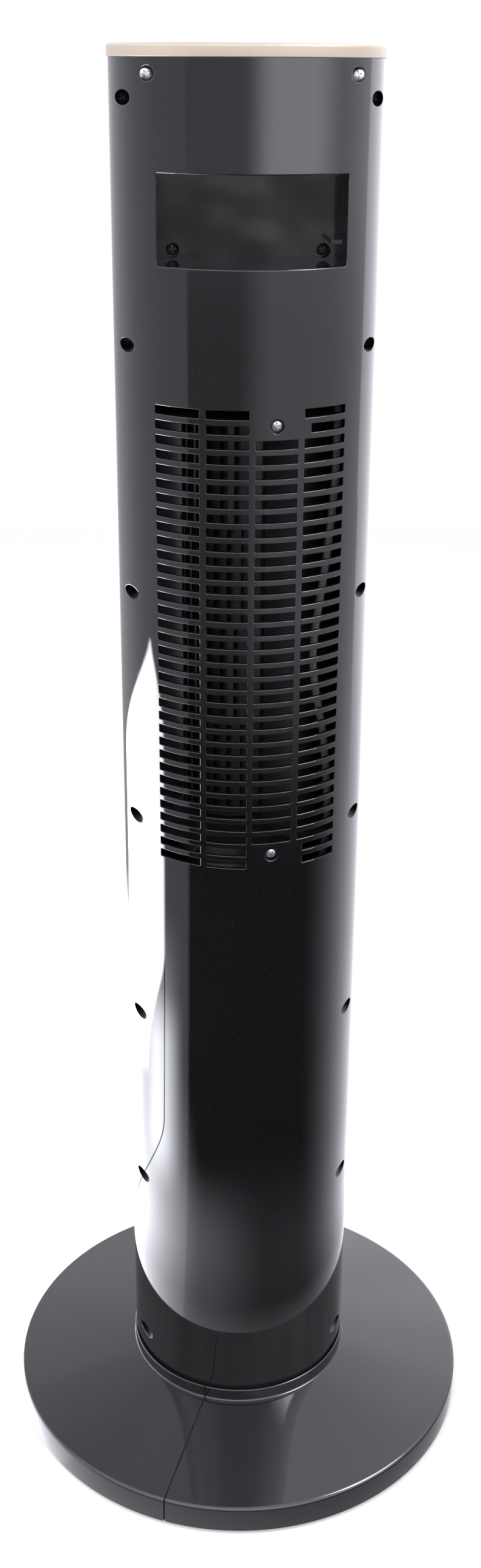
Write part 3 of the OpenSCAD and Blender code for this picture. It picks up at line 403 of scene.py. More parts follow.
# Points along a round arc, its ends in degrees
def arc(radius, start, end, steps=28, x=0, y=0):
    angles = [math.radians(start + (end - start) * index / steps) for index in range(steps + 1)]
    return [(x + radius * math.cos(angle), y + radius * math.sin(angle)) for angle in angles]


# Solid through rings of points, closed at both ends
def loft(rings):
    count = len(rings[0])
    faces = [tuple(reversed(range(count))), tuple(range((len(rings) - 1) * count, len(rings) * count))]
    for level in range(len(rings) - 1):
        for index in range(count):
            after = (index + 1) % count
            low = level * count
            faces.append((low + index, low + after, low + count + after, low + count + index))
    return [point for ring in rings for point in ring], faces


# Solid turned about the Z axis from a closed profile of (radius, height); radius 0 is on the axis
def turned(profile, steps):
    points, faces, rings = [], [], []
    for radius, height in profile:
        if radius < 1e-9:
            rings.append([len(points)] * steps)
            points.append((0, 0, height))
            continue
        rings.append(range(len(points), len(points) + steps))
        for index in range(steps):
            angle = 2 * math.pi * index / steps
            points.append((radius * math.cos(angle), radius * math.sin(angle), height))
    for low, high in zip(rings, rings[1:] + rings[:1]):
        for index in range(steps):
            after = (index + 1) % steps
            corners = list(dict.fromkeys((low[index], low[after], high[after], high[index])))
            if len(corners) > 2:
                faces.append(corners)
    return points, faces


# Moves and turns a form
def placed(form, matrix):
    return [matrix @ Vector(point) for point in form[0]], form[1]


# One mesh of separate closed forms, every face pointing outwards
def asMesh(*forms):
    points, faces = [], []
    for formPoints, formFaces in forms:
        faces += [[corner + len(points) for corner in face] for face in formFaces]
        points += formPoints
    mesh = bpy.data.meshes.new("form")
    mesh.from_pydata(points, [], faces)
    sheet = bmesh.new()
    sheet.from_mesh(mesh)
    bmesh.ops.recalc_face_normals(sheet, faces=sheet.faces)
    sheet.to_mesh(mesh)
    sheet.free()
    return mesh


# Joins, cuts or clips one closed mesh with another
def combined(first, operation, second):
    holders = [bpy.data.objects.new("holder", mesh) for mesh in (first, second)]
    for holder in holders:
        bpy.context.scene.collection.objects.link(holder)
    change = holders[0].modifiers.new("change", "BOOLEAN")
    change.operation = operation
    change.solver = "MANIFOLD"
    change.object = holders[1]
    graph = bpy.context.evaluated_depsgraph_get()
    result = bpy.data.meshes.new_from_object(holders[0].evaluated_get(graph))
    for holder in holders:
        bpy.data.objects.remove(holder)
    return result


# Smooth shading; corners on a round wall of the column take the true radial normal, and with
# flats set, level faces keep their own
def shade(mesh, angle=30, walls=(), flats=False):
    mesh.shade_smooth()
    mesh.set_sharp_from_angle(angle=math.radians(angle))
    if not walls and not flats:
        return
    count = len(mesh.loops)
    normals = np.empty(count * 3, np.float32)
    mesh.corner_normals.foreach_get("vector", normals)
    normals = normals.reshape(-1, 3)
    corners = np.empty(count, np.int32)
    mesh.loops.foreach_get("vertex_index", corners)
    places = np.empty(len(mesh.vertices) * 3, np.float32)
    mesh.vertices.foreach_get("co", places)
    places = places.reshape(-1, 3)[corners]
    sizes = np.empty(len(mesh.polygons), np.int32)
    mesh.polygons.foreach_get("loop_total", sizes)
    faceNormals = np.empty(len(mesh.polygons) * 3, np.float32)
    mesh.polygons.foreach_get("normal", faceNormals)
    faceNormals = np.repeat(faceNormals.reshape(-1, 3), sizes, axis=0)
    away = np.hypot(places[:, 0], places[:, 1])
    radial = places * [1, 1, 0] / np.maximum(away, 1e-6)[:, None]
    if flats:
        level = np.abs(faceNormals[:, 2]) > 0.9999
        normals[level] = faceNormals[level]
    for radius, side in walls:
        facing = side * (faceNormals * radial).sum(1) > 0.75
        onWall = np.abs(away - radius) < 0.006 * mm
        normals[facing & onWall] = side * radial[facing & onWall]
    mesh.normals_split_custom_set([tuple(normal) for normal in normals])


# Links a finished mesh, dresses it and fixes it to its body
def addPiece(name, mesh, body, slot, replaced, *dress):
    mesh.name = name
    mesh.materials.clear()
    for finish in dress:
        mesh.materials.append(materials[finish])
    piece = bpy.data.objects.new(name, mesh)
    bpy.context.scene.collection.objects.link(piece)
    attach(piece, body)
    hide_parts(*replaced)
    print(name, len(mesh.polygons), "faces")
    return piece


def circleOutline(x, y, radius, steps=40):
    def outline(grow):
        reach = radius + grow
        angles = [2 * math.pi * index / steps for index in range(steps)]
        return [(x + reach * math.cos(angle), y + reach * math.sin(angle)) for angle in angles]
    return outline


# Rectangle with round corners, its sides divided so that it can follow a round wall
def slabOutline(x0, x1, y0, y1, corner=0.3 * mm, stride=3 * mm):
    def outline(grow):
        reach = corner + grow
        middles = [(x1 - corner, y1 - corner), (x0 + corner, y1 - corner),
                   (x0 + corner, y0 + corner), (x1 - corner, y0 + corner)]
        loop = []
        for quarter, (middle, after) in enumerate(zip(middles, middles[1:] + middles[:1])):
            for step in range(4):
                angle = math.radians(90 * quarter + 30 * step)
                loop.append((middle[0] + reach * math.cos(angle), middle[1] + reach * math.sin(angle)))
            side = math.radians(90 * quarter + 90)
            length = math.dist(middle, after)
            pieces = max(1, round(length / stride))
            for step in range(1, pieces):
                share = step / pieces
                loop.append((middle[0] + (after[0] - middle[0]) * share + reach * math.cos(side),
                             middle[1] + (after[1] - middle[1]) * share + reach * math.sin(side)))
        return loop
    return outline


# Cutter whose mouth is rounded where it meets a skin; skin(x) is the skin's height over a point
# and stages are (grow, height) of the rings below the mouth
def mouthCutter(outline, stages, mouth, skin, steps=4, clear=3 * mm):
    top = max(skin(x) for x, y in outline(0)) + clear
    rings = [[(x, y, top) for x, y in outline(mouth)]]
    for step in range(steps + 1):
        turn = math.pi / 2 * step / steps
        grow = mouth * (1 - math.sin(turn))
        depth = mouth * (1 - math.cos(turn))
        rings.append([(x, y, skin(x) - depth) for x, y in outline(grow)])
    for grow, height in stages:
        rings.append([(x, y, height) for x, y in outline(grow)])
    return loft(rings)


# Forms drawn upright are laid so that their height runs along +Y (rear) or -Y (front)
def alongY(form, side=1):
    points, faces = form
    return [(x, side * z, y) for x, y, z in points], faces


# Straight-sided block between two corners
def slab(x0, x1, y0, y1, z0, z1):
    return loft([[(x0, y0, z), (x1, y0, z), (x1, y1, z), (x0, y1, z)] for z in (z0, z1)])


# Upright rod
def rod(x, y, radius, low, high, steps=40):
    ring = circleOutline(x, y, radius, steps)(0)
    return loft([[(px, py, z) for px, py in ring] for z in (low, high)])


# Round pin along Y
def pinAlongY(x, z, radius, start, end):
    ring = circleOutline(x, z, radius)(0)
    return loft([[(px, y, pz) for px, pz in ring] for y in (start, end)])


def aboutZ(form, angle):
    return placed(form, Matrix.Rotation(angle, 4, "Z"))


def columnSkin(x):
    return math.sqrt(column["radius"] ** 2 - x ** 2)


# Boxes of the separate solids in a CAD node
def solids(node):
    mesh = nodes[node].data
    sheet = bmesh.new()
    sheet.from_mesh(mesh)
    bmesh.ops.remove_doubles(sheet, verts=sheet.verts, dist=0.002 * mm)
    sheet.verts.ensure_lookup_table()
    seen, boxes = set(), []
    for start in sheet.verts:
        if start in seen:
            continue
        seen.add(start)
        island, waiting = [start], [start]
        while waiting:
            vertex = waiting.pop()
            for edge in vertex.link_edges:
                other = edge.other_vert(vertex)
                if other not in seen:
                    seen.add(other)
                    island.append(other)
                    waiting.append(other)
        places = [vertex.co for vertex in island]
        low = Vector([min(place[axis] for place in places) for axis in range(3)])
        high = Vector([max(place[axis] for place in places) for axis in range(3)])
        boxes.append((low, high))
    sheet.free()
    return boxes


# Half of the column's tube on one side of the middle plane, with rounded free edges
def halfTube(side):
    outer, inner = column["radius"], column["radius"] - column["wall"]
    lip = column["lip"]
    eases = [(0, lip), (lip * 0.3, lip * 0.3), (lip, 0)]   # (height, shrink) up a rounded end
    rounded = [(lip, 0), (lip * 0.3, lip * 0.3), (0, lip)]

    def outline(shrink):
        loop = []
        for radius, way in ((outer - shrink, 1), (inner + shrink, -1)):
            edge = [(radius - way * down, column["seam"] + up) for down, up in rounded]
            start = math.asin(edge[-1][1] / radius)
            turns = column["turns"]
            curve = [start + (math.pi - 2 * start) * index / turns for index in range(1, turns)]
            half = [(math.sqrt(r * r - y * y), y) for r, y in edge]
            half += [(radius * math.cos(angle), radius * math.sin(angle)) for angle in curve]
            half += [(-math.sqrt(r * r - y * y), y) for r, y in reversed(edge)]
            loop += half[::way]
        return loop

    height = column["top"] - column["bottom"]
    strips = round(height / column["rise"])
    levels = [(column["bottom"] + up, shrink) for up, shrink in eases]
    levels += [(column["bottom"] + height * index / strips, 0) for index in range(1, strips)]
    levels += [(column["top"] - up, shrink) for up, shrink in reversed(eases)]
    return loft([[(x, side * y, z) for x, y in outline(shrink)] for z, shrink in levels])


# Round boss along Y that ends inside the column's wall
def wallBoss(x, z, radius, near, side, far=None):
    inWall = column["radius"] - column["wall"] / 2
    ring = circleOutline(x, z, radius)(0)
    ends = [math.sqrt(inWall ** 2 - px ** 2) for px, pz in ring]
    if far is not None:
        ends = [min(far, end) for end in ends]
    return loft([[(px, side * near, pz) for px, pz in ring],
                 [(px, side * end, pz) for (px, pz), end in zip(ring, ends)]])


shell = {
    "bossRadius": 7 * mm,
    "bossGap": 1.65 * mm,     # from the middle plane to a boss beside the column foot
    "well": 4.15 * mm,
    "clear": 2 * mm,
    "pilot": 1.6 * mm,
    "mouth": 0.4 * mm,        # rounding of slots and screw holes
    "seat": 14 * mm,
    # painted shade: the depths below the skin at which a screw well's walls are painted near-black,
    # beyond the given x and nearer the middle
    "paintedShadeInWells": (66 * mm, 0.55 * mm, 2.6 * mm),   # beyond this x a well is dark below the first depth
    "rimBoss": 6.5 * mm,      # radius of the top and grille bosses
    "topBoss": (5.5 * mm, 4.5 * mm),       # from the skin to the seat, and on to the boss's end
    "grilleBoss": (5 * mm, 3.5 * mm),
    "rimHole": 12 * mm,
    "slotRows": 34,
    "slotPitch": 8.7 * mm,
    "slotSize": (25 * mm, 5.2 * mm),
    "slotColumns": 4,
    "slotRib": 3.9 * mm,
    "slotsDrop": 186.7 * mm,  # from the column's top edge to the first row
    "slotShort": 4 * mm,
    "handle": (107.5 * mm, 49.5 * mm, 59.3 * mm),   # width, height and drop from the top edge
    "handleRound": (0.8 * mm, 0.7 * mm),   # corners and mouth
    "handleIn": 38 * mm,      # where the cut for the handle ends
    "tuck": 3 * mm,           # how far the grille and the window reach behind the front shell
    "fit": 0.3 * mm,
}


# Middles of the screws in a CAD node, seen along Y
def screwPlaces(node):
    return [((low.x + high.x) / 2, (low.z + high.z) / 2) for low, high in solids(node)]


# The third column leaves out two slots at each end for a screw, and the fourth is shorter beside it
def slotForms():
    width, height = shell["slotSize"]
    rows, columns = shell["slotRows"], shell["slotColumns"]
    forms = []
    for row in range(rows):
        for col in range(columns):
            beside = row < 2 or row >= rows - 2
            if col == 2 and beside:
                continue
            x0 = ((columns - 1) / 2 - col) * (width + shell["slotRib"]) - width / 2
            short = shell["slotShort"] if col == 3 and beside and row > 0 else 0
            z1 = column["top"] - shell["slotsDrop"] - row * shell["slotPitch"]
            outline = slabOutline(x0, x0 + width - short, z1 - height, z1)
            stages = [(0, column["radius"] / 2)]
            forms.append(alongY(mouthCutter(outline, stages, shell["mouth"], columnSkin, 3)))
    return forms


# Stepped screw hole: a well down to the seat and a clear hole through the boss
def screwHole(x, z, seat, through):
    down = shell["clear"] - shell["well"]
    stages = [(0, seat), (down, seat), (down, through)]
    return alongY(mouthCutter(circleOutline(x, z, shell["well"]), stages, shell["mouth"], columnSkin))


# Where a shell's side boss starts: at the joint, or clear of the foot's lug between the shells
def bossStart(z):
    return shell["bossGap"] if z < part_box("column_foot")[1].z else column["seam"]


def shadeShell(mesh):
    shade(mesh, 32, [(column["radius"], 1), (column["radius"] - column["wall"], -1)])


def makeRearShell():
    sides = screwPlaces("shell_screws")
    bosses, cuts = [], slotForms()
    for x, z in sides:
        bosses.append(wallBoss(x, z, shell["bossRadius"], bossStart(z), 1))
        cuts.append(screwHole(x, z, shell["seat"], -1 * mm))
    for node, kind in (("top_screws", "topBoss"), ("duct_screws", "grilleBoss")):
        toSeat, toEnd = shell[kind]
        for x, z in screwPlaces(node):
            seat = columnSkin(x) - toSeat
            bosses.append(wallBoss(x, z, shell["rimBoss"], seat - toEnd, 1))
            cuts.append(screwHole(x, z, seat, seat - shell["rimHole"]))
    width, height, drop = shell["handle"]
    corner, mouth = shell["handleRound"]
    top = column["top"] - drop
    opening = slabOutline(-width / 2, width / 2, top - height, top, corner)
    cuts.append(alongY(mouthCutter(opening, [(0, shell["handleIn"])], mouth, columnSkin)))
    mesh = combined(asMesh(halfTube(1)), "UNION", asMesh(*bosses))
    mesh = combined(mesh, "DIFFERENCE", asMesh(*cuts))
    shadeShell(mesh)
    addPiece("rearShell", mesh, "column", "shell_black", ["rear_shell"], "shellGloss", "paintedShadeBlack")
    # painted shade: faces deep in a side screw well take the near-black second material in place of the
    # shade inside the well
    sideX, sideDepth, middleDepth = shell["paintedShadeInWells"]
    for face in mesh.polygons:
        x, y, z = face.center
        deep = y < columnSkin(x) - (sideDepth if abs(x) > sideX else middleDepth)
        inWell = any(math.hypot(x - wx, z - wz) < shell["well"] + 0.1 * mm for wx, wz in sides)
        face.material_index = 1 if deep and inWell else 0


front = {
    "bossEnd": 32 * mm,
    "pilot": (2 * mm, 22 * mm),      # behind and in front of the joint
    "cupPost": (4.5 * mm, 11.85 * mm),     # radius and end of the posts that carry the handle cup
    "cupPilot": (14 * mm, 8 * mm),
    "boardPost": 3.5 * mm,
    "boardPilot": (1.1 * mm, 2 * mm, 4.5 * mm),   # radius, and reach behind and before the board
    "mouth": 0.8 * mm,
    "corner": 1 * mm,
}


def makeFrontShell():
    bosses, cuts = [], []
    behind, ahead = front["pilot"]
    for x, z in screwPlaces("shell_screws"):
        bosses.append(wallBoss(x, z, shell["bossRadius"], bossStart(z), -1, front["bossEnd"]))
        cuts.append(pinAlongY(x, z, shell["pilot"], behind, -ahead))
    radius, end = front["cupPost"]
    behind, ahead = front["cupPilot"]
    for x, z in screwPlaces("cup_screws"):
        bosses.append(wallBoss(x, z, radius, -end, -1))
        cuts.append(pinAlongY(x, z, shell["pilot"], behind, -ahead))
    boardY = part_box("display_board")[0].y
    radius, behind, ahead = front["boardPilot"]
    for x, z in screwPlaces("display_screws"):
        bosses.append(wallBoss(x, z, front["boardPost"], -boardY, -1))
        cuts.append(pinAlongY(x, z, radius, boardY + behind, boardY - ahead))
    inset = shell["tuck"] - shell["fit"]
    for node in ("front_grille", "display_window"):
        low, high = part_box(node)
        outline = slabOutline(low.x + inset, high.x - inset, low.z + inset, high.z - inset,
                              front["corner"])
        stages = [(0, column["radius"] / 2)]
        opening = mouthCutter(outline, stages, front["mouth"], columnSkin)
        cuts.append(alongY(opening, -1))
    mesh = combined(asMesh(halfTube(-1)), "UNION", asMesh(*bosses))
    mesh = combined(mesh, "DIFFERENCE", asMesh(*cuts))
    shadeShell(mesh)
    addPiece("frontShell", mesh, "column", "shell_black", ["front_shell"], "shellGloss")


# Profile of the base: rim, shallow dome, collar and the ledge that carries the neck
def baseProfile():
    slope = (base["domeTop"] - base["rimTop"]) / (base["radius"] - base["edge"] - base["collar"])
    drop = base["wall"] * math.hypot(1, slope)
    collarIn = base["collar"] - base["wall"]
    ledgeIn, ledgeLow, ledgeTop = base["ledge"]
    rimIn = base["radius"] - base["wall"]
    small, middle = 0.3 * mm, 0.5 * mm
    return filleted([
        (base["radius"], base["bottom"], middle),
        (base["radius"], base["rimTop"] + base["edge"] * slope, base["edge"]),
        (base["collar"], base["domeTop"], base["footFillet"]),
        (base["collar"], base["top"], 0.8 * mm),
        (collarIn, base["top"], 0.4 * mm),
        (collarIn, ledgeTop, small),
        (ledgeIn, ledgeTop, small),
        (ledgeIn, ledgeLow, small),
        (base["collar"], ledgeLow, middle),
        (base["collar"], base["domeTop"] - drop, middle),
        (rimIn, base["rimTop"] - drop, 1 * mm),
        (rimIn, base["bottom"], small)], 6)


# Height inside the dome's wall at a radius
def domeUnder(radius):
    start, end = base["collar"], base["radius"] - base["edge"]
    share = (radius - start) / (end - start)
    return base["domeTop"] + (base["rimTop"] - base["domeTop"]) * share - base["wall"] / 2


def baseRib(angle):
    inner, outer = base["collar"] - 1 * mm, base["radius"] - base["wall"] / 2
    bottom = base["bottom"] + 2 * mm
    side = [(inner, bottom), (outer, bottom), (outer, base["rimTop"] - base["edge"] - 1 * mm),
            (outer - base["edge"], domeUnder(outer - base["edge"])), (inner, domeUnder(inner))]
    half = base["ribThick"] / 2
    return aboutZ(loft([[(x, y, z) for x, z in side] for y in (-half, half)]), angle)


def baseFootBoss(angle):
    ring = circleOutline(base["footRing"], 0, base["footRadius"] + 2.5 * mm)(0)
    low = base["bottom"] + 1.5 * mm
    top = [(x, y, domeUnder(math.hypot(x, y))) for x, y in ring]
    return aboutZ(loft([[(x, y, low) for x, y in ring], top]), angle)


# Angles of equally spaced features round the base
def spread(count):
    return [2 * math.pi * (index + 0.5) / count for index in range(count)]


# Strip on the left half that closes the joint a little below the skin
def baseTongue(reach):
    inset, root, gap = base["tongue"]
    core = turned([(radius - inset, height - inset) for radius, height in baseProfile()], base["turns"])
    half = base["seam"]
    strip = slab(-half - root, half - gap, -reach, reach, base["bottom"] + root, base["top"])
    return combined(asMesh(core), "INTERSECT", asMesh(strip))


def makeBase():
    adds = [baseRib(angle) for angle in spread(base["ribs"])]
    bosses = [baseFootBoss(angle) for angle in spread(base["feet"])]
    below = -1 * mm
    footHole = rod(base["footRing"], 0, base["footRadius"] + 0.15 * mm, below, base["bottom"] + 3 * mm)
    neckHole = rod(base["neckRing"], 0, shell["clear"], *base["neckHole"])
    cuts = [aboutZ(footHole, angle) for angle in spread(base["feet"])]
    cuts += [aboutZ(neckHole, angle) for angle in spread(base["neckScrews"])]
    reach, notch = base["radius"] + 2 * mm, base["notch"]
    centre = base["bottom"] + notch
    arch = arc(notch, 0, 180, 18, 0, centre) + [(-notch, below), (notch, below)]
    ends = (-reach, -base["radius"] + 2 * base["wall"])
    cuts.append(loft([[(x, y, z) for x, z in arch] for y in ends]))
    whole = combined(asMesh(turned(baseProfile(), base["turns"])), "UNION", asMesh(*adds))
    whole = combined(whole, "UNION", asMesh(*bosses))
    whole = combined(whole, "DIFFERENCE", asMesh(*cuts))
    parked = math.radians(base["parked"])
    across = Vector((math.cos(parked), math.sin(parked), 0))
    for side, name, node in ((-1, "baseLeft", "base_left"), (1, "baseRight", "base_right")):
        keeper = [(side * base["seam"], -reach), (side * reach, -reach),
                  (side * reach, reach), (side * base["seam"], reach)]
        block = loft([[(x, y, z) for x, y in keeper] for z in (below, base["top"] + 2 * mm)])
        mesh = combined(whole, "INTERSECT", asMesh(block))
        if side < 0:
            mesh = combined(mesh, "UNION", baseTongue(reach))
        mesh.transform(Matrix.Rotation(parked, 4, "Z"))
        shade(mesh, 25)
        addPiece(name, mesh, "base", "base_black", [node], "baseGloss", "paintedShadeBlack")
        # painted shade: the walls of the joint between the halves take the near-black second material
        # in place of the shade in the gap
        for face in mesh.polygons:
            inJoint = abs(face.center.dot(across)) < base["seam"] + 0.02 * mm
            face.material_index = 1 if inJoint else 0


# Rubber foot with a chamfered rim and grooves in its sole
def makeFeet():
    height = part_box("base_feet")[1].z
    radius = base["footRadius"]
    grooves = []
    half, deep = 0.35 * mm, 0.5 * mm
    for index in range(3):
        middle = radius * (0.3 + 0.22 * index)
        grooves += [(middle + half, 0), (middle + half * 0.6, deep),
                    (middle - half * 0.6, deep), (middle - half, 0)]
    edge = 0.3 * mm
    profile = [(0, height), (radius - edge, height), (radius, height - edge), (radius, 1 * mm),
               (radius - 0.8 * mm, 0)] + sorted(grooves, reverse=True) + [(0, 0)]
    foot = placed(turned(profile, 64), Matrix.Translation((base["footRing"], 0, 0)))
    angles = [angle + math.radians(base["parked"]) for angle in spread(base["feet"])]
    mesh = asMesh(*[aboutZ(foot, angle) for angle in angles])
    shade(mesh, 40)
    addPiece("rubberFeet", mesh, "base", "soft_rubber", ["base_feet"], "softRubber")


screw = {
    "head": 3.7 * mm,
    "headHigh": 2.4 * mm,
    "core": 1.5 * mm,
    "thread": 1.1 * mm,      # from one thread to the next
    "cross": 2.3 * mm,       # reach of the cross recess
    "crossWide": 0.5 * mm,   # half the width of one wing
}


# Pan head screw, its seat at z = 0 and its shank pointing down
def panScrew(length):
    head, high, core = screw["head"], screw["headHigh"], screw["core"]
    dome = [(head * math.cos(angle), high * 0.35 + high * 0.65 * math.sin(angle))
            for angle in [math.radians(a) for a in range(0, 90, 9)]]
    threads = []
    turns = int((length - 2 * mm) / screw["thread"])
    for index in range(turns):
        z = -1.5 * mm - index * screw["thread"]
        threads += [(core, z), (core * 0.78, z - screw["thread"] * 0.5)]
    edge = 0.2 * mm
    profile = [(0, -length), *reversed(threads), (core, 0), (head - edge, 0), (head, edge),
               *dome, (0, high)]
    wing, half = screw["cross"], screw["crossWide"]
    plus = [(wing, half), (half, half), (half, wing), (-half, wing), (-half, half), (-wing, half),
            (-wing, -half), (-half, -half), (-half, -wing), (half, -wing), (half, -half), (wing, -half)]
    levels = ((1.25, high + 0.5 * mm), (1.0, high - 0.3 * mm), (0.55, high - 1.6 * mm))
    tool = loft([[(x * grow, y * grow, z) for x, y in plus] for grow, z in levels])
    return combined(asMesh(turned(profile, 36)), "DIFFERENCE", asMesh(tool))


# Swaps the screws of a CAD node for detailed ones; their heads face +Y
def makeScrews(node, name, finish):
    boxes = solids(node)
    length = boxes[0][1].y - boxes[0][0].y - screw["headHigh"]
    model = panScrew(length)
    points = [vertex.co.copy() for vertex in model.vertices]
    faces = [tuple(face.vertices) for face in model.polygons]
    forms = []
    lying = Matrix.Rotation(-math.pi / 2, 4, "X")
    for index, (low, high) in enumerate(boxes):
        seat = Vector(((low.x + high.x) / 2, high.y - screw["headHigh"], (low.z + high.z) / 2))
        spin = Matrix.Rotation(math.radians(37 * index + 12), 4, "Z")   # each stopped at its own turn
        forms.append(placed((points, faces), Matrix.Translation(seat) @ lying @ spin))
    mesh = asMesh(*forms)
    shade(mesh, 35)
    addPiece(name, mesh, "column", "screw_steel", [node], finish)


cap = {
    "rounding": 2.2 * mm,
    "rimInside": 0.3 * mm,   # gap round the control panel
    "ledge": 5 * mm,
    "ledgeThick": 2 * mm,
    "skirt": (10 * mm, 2.4 * mm, 0.3 * mm),   # height, thickness and gap to the shells
    "lug": (12 * mm, 12 * mm, 6 * mm),        # width, depth and reach below its screw
    "lugGap": 0.15 * mm,
    "notch": (2 * mm, 0.5 * mm),              # room beside and before a boss of the shell
    "pilot": (14 * mm, 2 * mm),               # reach before and behind the boss's end
}


def makeCap():
    seatZ = panelHigh.z - panel["thick"]
    skirtHigh, skirtThick, skirtGap = cap["skirt"]
    skirt = column["radius"] - column["wall"] - skirtGap
    rim = -panelLow.x + cap["rimInside"]
    ledgeLow = seatZ - cap["ledgeThick"]
    small = 0.25 * mm
    skirtLow = column["top"] - skirtHigh
    profile = filleted([
        (capHigh.x, column["top"], 0.4 * mm),
        (capHigh.x, capHigh.z, cap["rounding"]),
        (rim, capHigh.z, 0.5 * mm),
        (rim, seatZ, small),
        (rim - cap["ledge"], seatZ, small),
        (rim - cap["ledge"], ledgeLow, small),
        (skirt - skirtThick, ledgeLow, small),
        (skirt - skirtThick, skirtLow, small),
        (skirt, skirtLow, small),
        (skirt, column["top"], small)], 7)
    mesh = asMesh(turned(profile, 256))
    notches, lugs, pins = [], [], []
    width, deep, under = cap["lug"]
    half = width / 2
    beside, before = cap["notch"]
    ahead, behind = cap["pilot"]
    for x, z in screwPlaces("top_screws"):
        bossY = columnSkin(x) - sum(shell["topBoss"])
        notches.append(slab(x - half - beside, x + half + beside, bossY - before, column["radius"],
                            skirtLow - 1 * mm, column["top"] - 0.01 * mm))
        lugs.append(slab(x - half, x + half, bossY - deep, bossY - cap["lugGap"],
                         z - under, ledgeLow + 1 * mm))
        pins.append(pinAlongY(x, z, shell["pilot"], bossY - ahead, bossY + behind))
    inside = asMesh(rod(0, 0, skirt - 0.02 * mm, column["top"] - 30 * mm, capHigh.z, 180))
    mesh = combined(mesh, "DIFFERENCE", asMesh(*notches))
    mesh = combined(mesh, "UNION", combined(asMesh(*lugs), "INTERSECT", inside))
    mesh = combined(mesh, "DIFFERENCE", asMesh(*pins))
    shade(mesh, 30, flats=True)
    addPiece("topCap", mesh, "column", "cap_champagne", ["top_cap"], "capChampagne")


panel = {
    "thick": 3 * mm,
    "edge": 0.6 * mm,
    "holeGap": 0.25 * mm,
    "mouth": 0.35 * mm,      # rounding of the holes' edges
    "groove": (63 * mm, 0.35 * mm),   # radius and half width of the fine ring let into the top
    "boss": (3.4 * mm, 1.1 * mm, 6 * mm),   # radius, pilot's radius and pilot's height
}
buttonNames = ["timer", "mode", "power", "speed", "swing"]


def panelTop(x):
    return panelHigh.z


def makePanel():
    radius, top = -panelLow.x, panelHigh.z
    low = top - panel["thick"]
    ring, half = panel["groove"]
    profile = filleted([
        (0, low, 0),
        (radius, low, 0.3 * mm),
        (radius, top, panel["edge"]),
        (ring + half, top, 0.15 * mm),
        (ring, top - half, 0.1 * mm),
        (ring - half, top, 0.15 * mm),
        (0, top, 0)])
    mesh = asMesh(turned(profile, 256))
    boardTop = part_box("control_board")[1].z
    bossRadius, pilot, pilotHigh = panel["boss"]
    bosses, pins = [], []
    for corner, opposite in solids("board_screws"):
        middle = (corner + opposite) / 2
        bosses.append(rod(middle.x, middle.y, bossRadius, boardTop, low + 0.5 * mm))
        pins.append(rod(middle.x, middle.y, pilot, boardTop - 1 * mm, boardTop + pilotHigh, 24))
    cuts = []
    for name in buttonNames:
        corner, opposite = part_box("button_" + name)
        middle = (corner + opposite) / 2
        outline = circleOutline(middle.x, middle.y, button["radius"] + panel["holeGap"], 64)
        cuts.append(mouthCutter(outline, [(0, low - 1 * mm)], panel["mouth"], panelTop, 4, 1 * mm))
    mesh = combined(mesh, "UNION", asMesh(*bosses))
    mesh = combined(mesh, "DIFFERENCE", asMesh(*cuts, *pins))
    shade(mesh, 28, flats=True)
    addPiece("controlPanel", mesh, "column", "panel_black", ["control_panel"], "panelGloss")


button = {
    "radius": 6.4 * mm,
    "flange": (7.9 * mm, 2.4 * mm),   # radius and height of the flange that keeps the button in
    "flangeGap": 0.3 * mm,
    "stem": 2 * mm,
    "edge": 0.5 * mm,
    "crown": (0.05 * mm, 0.3 * mm),   # how far the middle lies below the sign, and its fall to the edge
    "print": (0.28 * mm, 0.4 * mm),   # half the width of a printed line, and its depth
}


# Flat line of even width along a path, as a closed form
def ribbon(path, low, high, closed=False):
    half, count = button["print"][0], len(path)
    left, right = [], []
    for index, point in enumerate(path):
        after = path[(index + 1) % count] if closed else path[min(index + 1, count - 1)]
        before = path[index - 1] if closed else path[max(index - 1, 0)]
        along = (Vector(after) - Vector(before)).normalized()
        side = Vector((-along.y, along.x)) * half
        left.append(Vector(point) + side)
        right.append(Vector(point) - side)
    points = [(*place, z) for z in (low, high) for row in (left, right) for place in row]
    faces = []
    up, last = 2 * count, count - 1
    for index in range(count if closed else last):
        after = (index + 1) % count
        a, b, c, d = index, after, count + after, count + index
        faces += [(a, b, c, d), (a + up, d + up, c + up, b + up),
                  (a, a + up, b + up, b), (d, c, c + up, d + up)]
    if not closed:
        faces += [(0, count, count + up, up), (last, last + up, count + last + up, count + last)]
    return points, faces


# Plain signs on the buttons, in millimetres; each entry is a path and whether it is a closed one
def signOf(name):
    wave = [(-2.8 + 0.28 * index, 0.75 * math.sin(index * math.pi / 5)) for index in range(21)]
    arrow = [(1.6, 0.2), (2.8, -0.25), (2.8, 1.05)]
    signs = {
        "power": [(arc(2.5, 120, 420), False), ([(0, 0.7), (0, 3.1)], False)],
        "speed": [([(x, -2.2), (x, -2.2 + rise)], False) for x, rise in ((-2, 1.6), (0, 3), (2, 4.4))],
        "mode": [([(x, y + lift) for x, y in wave], False) for lift in (-1.1, 1.1)],
        "timer": [(arc(2.8, 0, 360)[:-1], True), ([(0, -0.2), (0, 1.8)], False),
                  ([(0, 0), (1.4, 0)], False)],
        "swing": [(arc(3.4, 35, 145, 16, 0, -2.2), False)]
                 + [([(side * x, y) for x, y in arrow], False) for side in (-1, 1)],
    }
    return signs[name]


